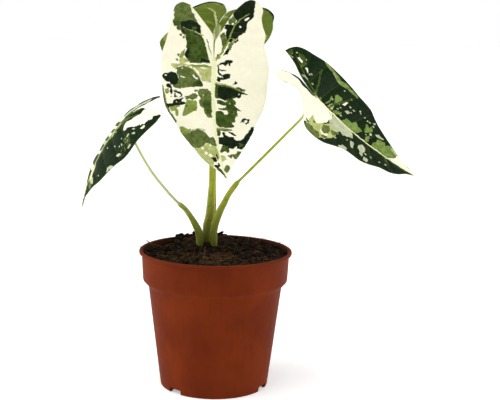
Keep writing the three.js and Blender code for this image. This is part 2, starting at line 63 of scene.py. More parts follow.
FRONT_MARKS = [
    ("olive", [(-41, 30.5), (-44, 31.5), (-48, 29), (-52, 24), (-48, 19), (-44, 18.5), (-40, 16.5),
               (-36, 14.5), (-32, 11.5), (-31, 18), (-31, 26), (-29.5, 30.5), (-32, 31.5), (-35, 30)]),
    ("green", [(-32, 31.5), (-32, 26), (-28, 25), (-28.5, 30)]),
    ("dark", [(-31.5, 26.5), (-33, 21), (-33.5, 18), (-32, 14), (-31, 12.5), (-28, 10.5), (-24, 9),
              (-21.5, 9), (-22, 11), (-24, 14), (-25, 18), (-26.5, 22), (-27.5, 25.5)]),
    ("green", [(-27, 17), (-27.5, 14), (-25.5, 13.5), (-25.5, 17)]),
    ("green", [(-28, 28.5), (-24.5, 28), (-25.5, 26), (-22, 24.5), (-20.5, 21), (-19, 21.5), (-16, 20.5),
               (-12, 21), (-9, 20.5), (-7, 21.5), (-4.5, 22.5), (-1.5, 20), (0, 19), (1.5, 18), (1.5, 3),
               (-2, 3), (-6, 4.5), (-13, 6.5), (-20, 9.5), (-23.5, 14.5), (-26, 22)]),
    ("dark", [(-26, 25.5), (-24, 22), (-22.5, 22.5), (-23, 25)]),
    ("dark", [(-23, 15), (-21, 9.5), (-19.5, 10.5), (-21, 15)]),
    ("dark", [(-9.5, 20.5), (-8, 18.5), (-3, 19.5), (-1, 20), (-4.5, 22.5), (-7, 21.5)]),
    ("dark", [(1.5, 10), (-2.5, 9.5), (-1.5, 7), (-1, 4), (0.5, 3), (1, 5)]),
    ("dark", [(-17.5, 5.7, 0.4), (-14, 4.4, 0.4)]),
    ("lime", [(-12.5, 4.6, 0.5), (-8, 3.4, 0.6), (-4, 2.6, 0.5)]),
    ("lime", [(-9, 22.5), (-5, 22.5), (-3, 24.5), (-3.5, 26), (-6, 25)]),
    ("pale", [(-3, 25), (-1, 20), (1, 19), (2, 25), (0, 26)]),
    *spots("olive", (-1.2, 28, 0.8), (-5.2, 27, 0.8), (-20.5, 25.5, 0.8), (-18.5, 23, 0.7)),
    ("pale", [(-20, 22, 0.8)]),
    ("pale", [(3.5, 17), (5.5, 18), (5, 30), (2.5, 32), (2, 27)]),
    ("pale", [(4, 2.5), (16.5, 2.5), (16.5, 8), (12, 11), (6, 16), (3.5, 17)]),
    ("lime", [(4, 5, 0.7), (4, 16, 0.6)]),
    ("cream", [(6, 14.5, 0.5), (9.5, 10.5, 0.5)]),
    ("cream", [(8, 13, 0.4), (12.5, 9.5, 0.5)]),
    ("cream", [(5.5, 9, 0.5), (6, 5, 0.4)]),
    ("cream", [(4.5, 20, 0.4), (4.2, 27, 0.4)]),
    ("olive", [(6, 29.5), (4.5, 26), (4, 22.5), (5.5, 19), (7.5, 15), (9.5, 13.5), (14, 11), (16.5, 9.5),
               (19, 8), (20.5, 9), (20, 18), (21.5, 25), (21, 29), (20, 31), (18, 27), (15, 25.5), (12, 26),
               (9.5, 28), (7, 27.5)]),
    ("green", [(17, 14), (15.5, 11), (19, 8.5), (20, 9), (20, 16)]),
    ("cream", [(11.5, 15.8, 0.4), (14, 12.6, 0.6)]),
    ("cream", [(6.2, 23.6, 0.6)]),
    ("cream", [(12.6, 23.7, 0.5), (13.3, 21.5, 0.4)]),
    ("dark", [(9, 37), (9, 35.5), (9.5, 34.5), (8.5, 31.5), (9.5, 29), (11.5, 27), (15, 26), (18, 27),
              (19.5, 30), (19, 32), (17, 33), (17, 35), (15, 36.5), (13, 38.5), (11.5, 38.5)]),
    ("cream", [(11.3, 35.8, 0.6)]),
    ("dark", [(18, 34), (19.5, 35.5), (21, 35), (22, 33), (24.5, 33), (26.5, 31), (25.5, 30), (23, 31),
              (20.5, 32), (18.5, 32.5)]),
    ("lime", [(22.5, 36), (22, 34.5), (24.5, 33.5), (26, 34.5), (25.5, 36)]),
    ("dark", [(24.5, 29, 0.5), (24.6, 26.8, 0.6), (26.8, 24.2, 0.5)]),
    ("dark", [(26, 28.2, 0.6), (28.4, 29, 0.6)]),
    ("dark", [(28.6, 31.6, 0.6)]),
    ("dark", [(24, 31.5, 0.4), (23.2, 28, 0.4), (25, 25, 0.5), (27.5, 23.5, 0.4), (29, 25.5, 0.4),
              (28, 28, 0.4)]),
    ("dark", [(31, 37.5), (33, 35.5), (34, 34), (34, 31.5), (33, 31), (31.5, 30.5), (30.5, 28.5), (30.5, 26),
              (31, 25.5), (29, 23), (29.5, 22.5), (31, 23.5), (32.5, 24), (33, 22), (33.5, 21), (34.5, 21),
              (35, 24), (35.5, 26.5), (36, 30), (36, 33), (38.5, 34), (40, 34.5), (36.5, 36)]),
    *spots("sage", (32.8, 28.2, 0.5), (33, 25.5, 0.4)),
    ("olive", [(20, 38.4, 0.6), (29, 37.2, 0.6), (38, 34.8, 0.6), (48, 29.6, 0.6)]),
    ("lime", [(36, 33), (36, 30.5), (35.5, 26.5), (36.5, 26), (37, 27.5), (39, 29), (39.5, 32)]),
    ("lime", [(31.5, 20.5), (32, 17), (32, 13.5), (33.5, 12.5), (37, 13), (39.5, 13.5), (39.5, 15),
              (41, 17.5), (43.5, 21), (43.5, 23), (41.5, 23), (38, 22.5), (36, 21), (34.5, 20.5)]),
    ("lime", [(39.5, 28, 0.7), (42.8, 28.2, 0.8)]),
    ("olive", [(35.8, 21, 0.7)]),
    ("olive", [(28.5, 21.5), (28.5, 18.5), (26.5, 16), (26.5, 14), (28, 12.5), (30, 14), (31, 16), (30, 18),
               (31, 21)]),
    ("olive", [(23, 14.5), (23, 12.5), (24.5, 11.5), (25, 13.5), (24, 14.5)]),
    ("olive", [(22.5, 11), (22, 7.5), (22, 4.5), (23.5, 3.5), (24, 2), (30, 2), (40, 2), (44.5, 2), (44.5, 5),
               (42, 6.5), (40.5, 7.5), (37.5, 7.5), (37, 9), (35, 10), (33, 10.5), (31.5, 10.5), (30, 9.5),
               (28, 11.5), (26, 11)]),
    *spots("pale", (27.5, 8, 0.9), (24.5, 8, 0.7)),
    ("green", [(31, 3), (43, 2.5), (42, 5), (34, 8), (31, 7)]),
    ("lime", [(52.5, 26), (52.5, 24.5), (55, 20), (54.5, 18.5), (59.5, 23), (57, 26.5)]),
    ("sage", [(55.4, 17, 0.8), (55.4, 9, 0.8)]),
    ("olive", [(57, 27), (59, 23), (56, 18.5), (55, 14), (56, 10.5), (57.5, 8), (60, 6), (61.5, 4),
               (60.5, 2.5), (62.5, 2), (66.5, 1), (67.5, 1.5), (66.5, 3.5), (65, 5), (64.5, 8.5),
               (67.5, 10.5), (68.5, 13.5), (69, 16.5), (66, 20), (62, 24.5)]),
    ("pale", [(69, 17), (68.5, 13), (67, 10), (65, 6), (68, 2), (70, 1), (76, 0.5), (78.5, 2), (80, 6),
              (84.5, 7), (85.5, 8), (81, 12), (76, 15)]),
    *spots("cream", (67, 6, 1), (75, 7, 1.2), (73.5, 9.5, 1), (69.5, 11.5, 1)),
    ("dark", [(73.5, 2.5), (74, 1.5), (77.5, 1.5), (77.5, 2.5), (75.5, 3)]),
    ("dark", [(77, 8), (76.5, 5), (76.5, 3.5), (79, 3), (80.5, 4), (80, 6), (78.5, 5.5), (77.5, 6.5)]),
    ("dark", [(81, 3), (82, 1.5), (83.5, 1), (84.5, 2), (85.5, 4), (84.5, 6), (83.5, 6.5), (82.5, 5),
              (83, 3)]),
    ("green", [(85, 5), (85.5, 3), (87, 1), (90, 0.5), (93, -1), (92, 0.5), (89, 2), (87, 4)]),
    ("dark", [(-50, -24), (-45.5, -16.5), (-41, -14.5), (-37.5, -14), (-34.5, -15.5), (-33, -16.5),
              (-31, -15), (-29.5, -12), (-30, -9.5), (-29, -7.5), (-26.5, -7.5), (-24, -9), (-21, -9),
              (-17.5, -9), (-15.5, -10.5), (-15, -12.5), (-15.5, -14), (-14.5, -16.5), (-16.5, -17.5),
              (-15.5, -18.5), (-18, -18), (-20.5, -18.5), (-22, -21.5), (-23.5, -23.5), (-26, -24.5),
              (-31, -25), (-33.5, -26.5), (-36, -29.5), (-40, -30.5), (-41, -30), (-42.5, -31), (-50, -31.5),
              (-53, -30)]),
    ("olive", [(-36.5, -14), (-34, -11.5), (-31.5, -10.5), (-30, -11), (-30, -13), (-31, -15),
               (-33.5, -15.5)]),
    ("olive", [(-23, -7.5), (-21.5, -5.5), (-19, -4.5), (-16.5, -6), (-12, -6.5), (-8.5, -6), (-12, -8.5),
               (-15.5, -10), (-19, -9.5)]),
    ("cream", [(-34.3, -23.6, 0.7), (-35.8, -26, 0.7)]),
    *spots("cream", (-28.3, -19.5, 0.7), (-25.4, -8, 1), (-30, -14, 0.7)),
    ("pale", [(-19, -8.4, 0.6)]),
    ("olive", [(-9, -11), (-13, -11), (-15, -12.5), (-15, -14.5), (-12, -13.5), (-9, -12.5)]),
    ("pale", [(-15.8, -13.5, 0.5), (-17.8, -17, 0.5)]),
    ("pale", [(-18.4, -13, 0.4), (-18, -14.5, 0.4)]),
    ("dark", [(-9.5, -9.5), (-10.5, -10.5), (-9.5, -11), (-7.5, -11), (-5.5, -10.5), (-5, -9), (-3, -6),
              (-2, -5), (-3.5, -6.5), (-6.5, -8)]),
    ("green", [(-2.8, -3, 0.6), (-5, -3, 0.4)]),
    ("dark", [(3, -3), (2, -4), (1, -7), (-0.5, -9.5), (-1, -12), (-0.5, -14.5), (1, -13.5), (3.5, -12.5),
              (3.5, -11.5), (1.5, -11), (4.5, -9), (2.5, -7.5), (3, -5.5), (3.5, -4)]),
    ("dark", [(2.5, -3), (3, -4), (6, -4), (8.5, -4), (10, -5.5), (11, -7), (12, -6.5), (11, -4), (9.5, -3),
              (6, -2.5)]),
    ("dark", [(6, -4), (6.5, -7), (7, -10.5), (7.5, -9.5), (7.5, -6), (7, -4)]),
    ("dark", [(11, -7.5), (10, -10.5), (10.5, -12.5), (12, -12.5), (14, -12.5), (14, -10), (14.5, -7),
              (15, -5), (14, -4.5), (13, -5), (12, -6)]),
    ("sage", [(12.8, -6.5, 0.5)]),
    ("dark", [(12.5, -2.5), (12.5, -4.5), (15, -5), (16.5, -4), (16.5, -3), (15, -2)]),
    ("dark", [(15.5, -16), (16, -17), (16, -18), (17, -18.5), (18, -17), (18.5, -15), (18.5, -13.5),
              (18, -14.5), (17, -16)]),
    ("green", [(18, -1.5), (18.5, -4), (19.5, -10), (21, -15), (23, -19), (25.5, -24), (30, -13), (31.5, -8),
               (29, -1), (23, -1)]),
    ("dark", [(19.5, -3.5), (20.5, -9), (21.5, -14), (23.5, -18.5), (24.5, -22), (26, -25.5), (27, -25),
              (26.5, -21), (28.5, -21), (29.5, -19), (28.5, -17.5), (27.5, -15.5), (29, -14), (30, -12),
              (30, -10), (31.5, -7.5), (31, -5), (28, -3), (23, -3)]),
    ("sage", [(26.2, -19, 0.8)]),
    ("green", [(20.5, -16.5), (21, -19.5), (21.5, -22), (22.5, -24), (23, -22), (22.5, -19.5),
               (21.5, -17.5)]),
    ("green", [(30, -11.5), (29.5, -13.5), (30.5, -15.5), (32, -16.5), (34.5, -16.5), (34.5, -15),
               (36.5, -17), (39.5, -20), (38.5, -17), (40, -16.5), (41.5, -17.5), (42, -16.5), (43.5, -17.5),
               (44, -15.5), (48.5, -15), (48.5, -12.5), (51.5, -13.5), (52.5, -10.5), (53, -7), (52, -2.5),
               (49, -1), (40.5, -1), (40, -4.5), (40.5, -6.5), (43, -7.5), (43, -10), (41, -11), (39, -9.5),
               (38, -3.5), (37, -3), (37, -6), (36.5, -9.5), (35, -9.5), (34.5, -5.5), (33.5, -2.5),
               (31.5, -2.5), (32, -5.5), (33, -9)]),
    *spots("pale", (33.5, -12, 0.8), (41, -14.5, 0.7)),
    ("dark", [(48.5, -19.3, 0.5), (46.4, -21.5, 0.6), (46, -25.3, 0.6), (49, -24.3, 0.6),
              (49.8, -22.6, 0.4)]),
    ("dark", [(45.5, -23, 0.5), (49, -21, 0.4)]),
    ("dark", [(47, -25, 0.4), (50, -23, 0.4)]),
    ("olive", [(53.5, -1), (53.5, -3), (54.5, -11.5), (55.5, -8), (55, -4), (55, -1)]),
    ("green", [(55, -1), (55, -3), (57, -3.5), (59.5, -2), (59, -1)]),
    ("dark", [(56.5, -4.5), (56, -6), (58.5, -7), (60, -9), (60.5, -12), (63, -14.5), (62.5, -18),
              (60.5, -20.5), (57.5, -23), (53.5, -26), (52, -27), (52, -29), (57, -27), (63, -23.5),
              (68, -20.5), (70, -16.5), (69.5, -14), (67, -13.5), (70, -11), (69.5, -8.5), (67, -5),
              (66.5, -3), (66, -1), (61, -1), (60.5, -5)]),
    ("dark", [(56, -8.5), (56, -10.5), (57, -13), (58.5, -14.5), (59.5, -14.5), (59, -12.5), (57.5, -10)]),
    ("green", [(65, -16), (65.5, -20), (68, -18), (67.5, -15.5)]),
    ("green", [(67.5, -3), (67, -5), (69, -7.5), (71.5, -8), (73, -6.5), (71.5, -5), (73, -2), (72, -1),
               (70.5, -1.5)]),
    ("olive", [(75.5, -6), (74, -8), (74.5, -10.5), (73, -13), (72, -14), (72.5, -16.5), (76, -14.5),
               (78, -11.5), (77.5, -10.5), (75.5, -9.5), (77, -8)]),
    ("pale", [(75, -1), (76, -3.5), (77.5, -4.5), (79, -2), (80, -1)]),
    ("olive", [(83, -3.5), (83.5, -5), (85, -5), (87, -3.5), (88.5, -1.5), (86.5, -1), (84, -2)]),
    ("cream", [(2.5, 3, 0.5), (2.6, 12, 0.5), (2.5, 20, 0.4)]),
    ("cream", [(20.9, 2, 0.6), (21.3, 16, 0.5), (21.5, 22, 0.4)]),
    ("pale", [(17.5, -1, 0.5), (20, -13, 0.5), (24, -23, 0.3)]),
    ("pale", [(53.3, -1, 0.4), (54.8, -11.5, 0.3)]),
    ("cream", [(0, 0.5, 1.7), (-3, 2.8, 1.2), (-8, 4.4, 0.9), (-13, 5.6, 0.9), (-17, 7.3, 0.8),
               (-20.5, 9, 0.8), (-26, 9.5, 0.6), (-32, 12, 0.5), (-38, 15.5, 0.5), (-44, 18.5, 0.3)]),
    ("pale", [(-20.5, 9, 0.5), (-23.5, 15, 0.4), (-26, 21.5, 0.3), (-28.7, 29.5, 0.2)]),
    ("pale", [(-38, 15.5, 0.4), (-41.5, 21, 0.4), (-43, 27, 0.3)]),
    ("lime", [(-1, -1, 0.8), (-3, -4, 0.7), (-8, -6.5, 0.6), (-13, -9, 0.6), (-16, -10.7, 0.5),
              (-20, -12, 0.5), (-25, -14, 0.4), (-29, -15, 0.4), (-33, -18, 0.3), (-37, -22.5, 0.3),
              (-39, -26.5, 0.3)]),
    ("straw", [(-1, 0, 2), (25, 0.3, 1.6), (45, 0.4, 1.5), (60, 0.2, 1), (80, 0, 0.6), (92, 0, 0.3)]),
]

BACK_MARKS = [
    ("olive", [(-38, -20), (-30, -30), (-26, -22), (-27, -14), (-22, -8), (-12, -5), (-2, -3), (-2, 6),
               (-22, 4), (-30, -4)]),
    ("lime", [(-29, -16), (-26, -10), (-20, -7), (-18, -9), (-23, -13), (-26, -17)]),
    ("green", [(-20, -9), (-8, -7), (-5, -14), (-8, -26), (-20, -30), (-26, -22)]),
    ("sage", [(-16, 2), (-12, -1), (-10, 2), (-14, 4)]),
    ("dark", [(2, 2), (12, 2.5), (26, 4), (32, 8), (34, 13), (29, 15), (26, 20), (22, 24), (17, 27), (12, 26),
              (9, 21), (10, 15), (5, 12), (3, 7)]),
    ("dark", [(20, -2), (33, -2), (45, -3), (50, -8), (53, -14), (49, -19), (44, -24), (39, -28), (33, -26),
              (28, -22), (26, -16), (22, -12), (20, -7)]),
    ("green", [(40, -10), (46, -13), (45, -18), (39, -15)]),
    ("cream", [(37, 2), (45, 2), (53, 1.5), (56, 6), (59, 12), (58, 17), (54, 21), (49, 26), (45, 25),
               (42, 20), (43, 14), (39, 10), (37, 6)]),
    ("green", [(48, 8), (53, 11), (54, 15), (50, 14)]),
    ("olive", [(47, 19, 0.9), (50, 21, 0.7)]),
    ("cream", [(34, 24, 0.8), (37, 27, 0.6)]),
    ("cream", [(29, 30, 0.7)]),
    ("pale", [(56, 3), (66, 2.5), (68, 8), (66, 14), (61, 18), (58, 14), (59, 9)]),
    ("dark", [(66, 2), (80, 1.5), (90, 2.5), (84, 6), (78, 11), (72, 15), (68, 17), (67, 11), (69, 6)]),
    ("cream", [(52, -4), (60, -2), (67, -2), (71, -6), (72, -12), (68, -16), (62, -21), (57, -24), (54, -19),
               (55, -13), (51, -9)]),
    ("olive", [(60, -8, 0.8), (64, -11, 1)]),
    ("olive", [(60, -17, 0.7)]),
    ("sage", [(47, -20, 0.8), (50, -23, 0.6)]),
    ("lime", [(66, -2), (76, -1), (86, -1), (83, -6), (79, -10), (73, -13), (68, -10), (67, -6)]),
    ("pale", [(1, -25), (8, -22), (15, -21), (19, -26), (21, -32), (19, -38), (14, -43), (9, -46), (4, -41),
              (2, -34)]),
    ("green", [(8, -30), (13, -32), (14, -37), (9, -37)]),
    ("pale", [(3, 30), (10, 29), (17, 31), (18, 36), (16, 42), (10, 44), (4, 43), (1, 38)]),
    ("green", [(8, 34), (13, 34), (12, 39), (8, 38)]),
    *spots("sage", (22, 34, 0.8), (26, 37, 0.6)),
    ("rim", [(-36, 14, 0.8), (-36, 28, 1), (-32, 34, 1), (-26, 39, 1), (-18, 41.5, 0.8)]),
    ("rim", [(-14, -37.5, 1), (-25, -34, 1), (-32, -30, 1), (-37, -24, 1.1), (-39, -19, 1.1), (-38, -13, 1),
             (-34, -6, 0.9)]),
    ("pale", [(-31, -26, 0.4), (-35, -21, 0.4), (-36, -16, 0.4), (-34, -9, 0.3)]),
    ("lime", [(-1, -3, 1), (-4, -7.5, 0.8), (-5, -14, 0.6), (-4, -24, 0.3)]),
    ("straw", [(-1, -1, 1.1), (-8.5, -4, 1.1), (-15, -6.5, 1), (-19.5, -8.5, 0.9), (-24, -12, 0.8),
               (-27.5, -16.5, 0.6), (-29, -24, 0.4)]),
    ("straw", [(0, 0, 1.2), (30, 0, 1), (60, 0, 0.7), (95, 0, 0.3)]),
]

LEFT_MARKS = [
    ("green", [(0, -1), (-8, -3), (-16, -4.5), (-22, -5.5), (-26, -9), (-22.5, -9.5), (-10, -11), (-4, -9.5),
               (0, -7)]),
    ("dark", [(-3, -4), (-10, -5), (-16, -6), (-22, -5), (-25, -9), (-20, -10), (-13, -11), (-6, -10.5),
              (-2, -8)]),
    ("sage", [(-12, -0.5), (-18, 0), (-24, 0), (-26, -3), (-22, -4), (-16, -3.5), (-12, -3)]),
    ("green", [(-2, -5), (-8, -5.5), (-9, -8), (-3, -8.5)]),
    ("cream", [(-4.5, -9.5), (-6.5, -11), (-10, -11), (-14, -11.5), (-17.5, -11.5), (-20, -10.5), (-22.5, -9),
               (-30, -10), (-38, -14), (-40, -21), (-36.5, -19.5), (-31.5, -21), (-30, -23), (-26.5, -23),
               (-23.5, -24), (-21, -24.5), (-18.5, -23), (-18, -24.5), (-16.5, -24), (-16.5, -22.5),
               (-14.5, -22.5), (-10.5, -21), (-5.5, -18.5), (-2.5, -17), (1, -15.5), (1, -13.5), (-1, -11)]),
    ("cream", [(-16.5, -28), (-15.5, -27), (-17.5, -26), (-20.5, -25.5), (-21.5, -27), (-20.5, -28)]),
    ("sage", [(-7.5, -22.5, 0.4), (-9, -22.7, 0.4)]),
    ("sage", [(-4.5, -25.5, 0.4), (-7.5, -26.5, 0.6)]),
    ("green", [(2, -22), (0, -26), (2, -29), (5, -27), (6, -22)]),
    ("sage", [(0.5, -21), (-1, -22), (-1, -23), (1.5, -23.5), (2, -22)]),
    ("sage", [(2.5, -25, 0.4), (4, -27, 0.3)]),
    ("sage", [(6.5, -19.5, 0.4)]),
    ("speckle", [(3, -20), (0, -29), (7, -32), (15, -33), (21, -27), (14, -26), (8, -23)]),
    ("sage", [(9.5, -23, 0.4), (10, -24.5, 0.3)]),
    ("sage", [(12, -23, 0.4)]),
    ("sage", [(4, -31, 0.5), (7, -31.5, 0.4)]),
    ("sage", [(19.5, -24.5, 0.4), (18, -26.5, 0.5), (16, -27.5, 0.3)]),
    *spots("sage", (15.5, -17.5, 0.4), (21.5, -10, 0.4)),
    ("sage", [(36, -23.5), (33, -22.5), (30, -24.5), (28, -27.5), (29.5, -28), (32.5, -26)]),
    ("sage", [(43.5, -15.5, 0.5)]),
    ("lime", [(-2, 0), (-3, -2), (2, -4), (8, -5), (14, -4.5), (20, -3), (26, -1.5), (26, 0.5), (14, 0.5)]),
    ("pale", [(1, -1), (1, -3.5), (6, -5), (7, -2)]),
    ("pale", [(8, -2), (9, -5), (14, -5), (14, -2)]),
    ("pale", [(8, -7, 0.8)]),
    ("olive", [(26, 2), (26, -2.5), (33, -3), (39, -3), (39, 1)]),
    *spots("pale", (27, -1, 0.8), (32, -2.5, 0.8)),
    ("pale", [(38, -0.5), (38, -3), (43, -5), (47, -6), (51, -10), (53, -9), (53, -4), (49, -2), (44, -0.5)]),
    ("cream", [(40, -1), (42, -3), (47, -4.5), (50, -6), (52, -5), (48, -2)]),
    ("sage", [(49.5, -9, 1), (51.5, -10.5, 1)]),
    ("olive", [(52.5, -6), (56, -6), (57, -9), (54, -11)]),
    ("sage", [(-24, 3), (-12, 2), (-4, 1), (0, 6), (-5, 9), (-10, 14), (-18, 12), (-23, 17), (-26, 10)]),
    ("cream", [(-3, 0.5), (1.5, 0.5), (4, 9), (6, 15), (2, 17), (-1, 12)]),
    ("cream", [(6, 0.5), (8.5, 0.5), (11, 8), (15, 16), (21, 22), (17, 26), (12, 22), (10, 15), (8, 8)]),
    ("cream", [(13, 0.5), (15.5, 0.5), (18, 9), (16, 12), (14, 7)]),
    ("sage", [(20, 0.5), (23, 0.5), (25, 8), (30, 14), (34, 21), (28, 20), (24, 15), (22, 8)]),
    ("cream", [(29, 0.5), (31, 0.5), (34, 9), (37, 12), (33, 13), (30, 8)]),
    ("cream", [(41.5, 0.5), (45, 0.5), (47, 8), (45, 14), (41, 11)]),
    ("lime", [(2, 22), (8, 21), (12, 27), (8, 32), (3, 29), (0, 25)]),
    ("pale", [(24, 24, 0.8), (27, 26, 0.6)]),
    ("sage", [(35, 17, 0.6)]),
    ("sage", [(-10, 22, 0.8), (-13, 25, 0.6)]),
    ("cream", [(-16, 20, 0.6)]),
    ("sage", [(56, 3), (66, 0), (66, -1.5), (57, -1)]),
    ("pale", [(0, 0, 1.2), (20, -0.5, 1), (40, -0.5, 0.7), (66, 0, 0.3)]),
]

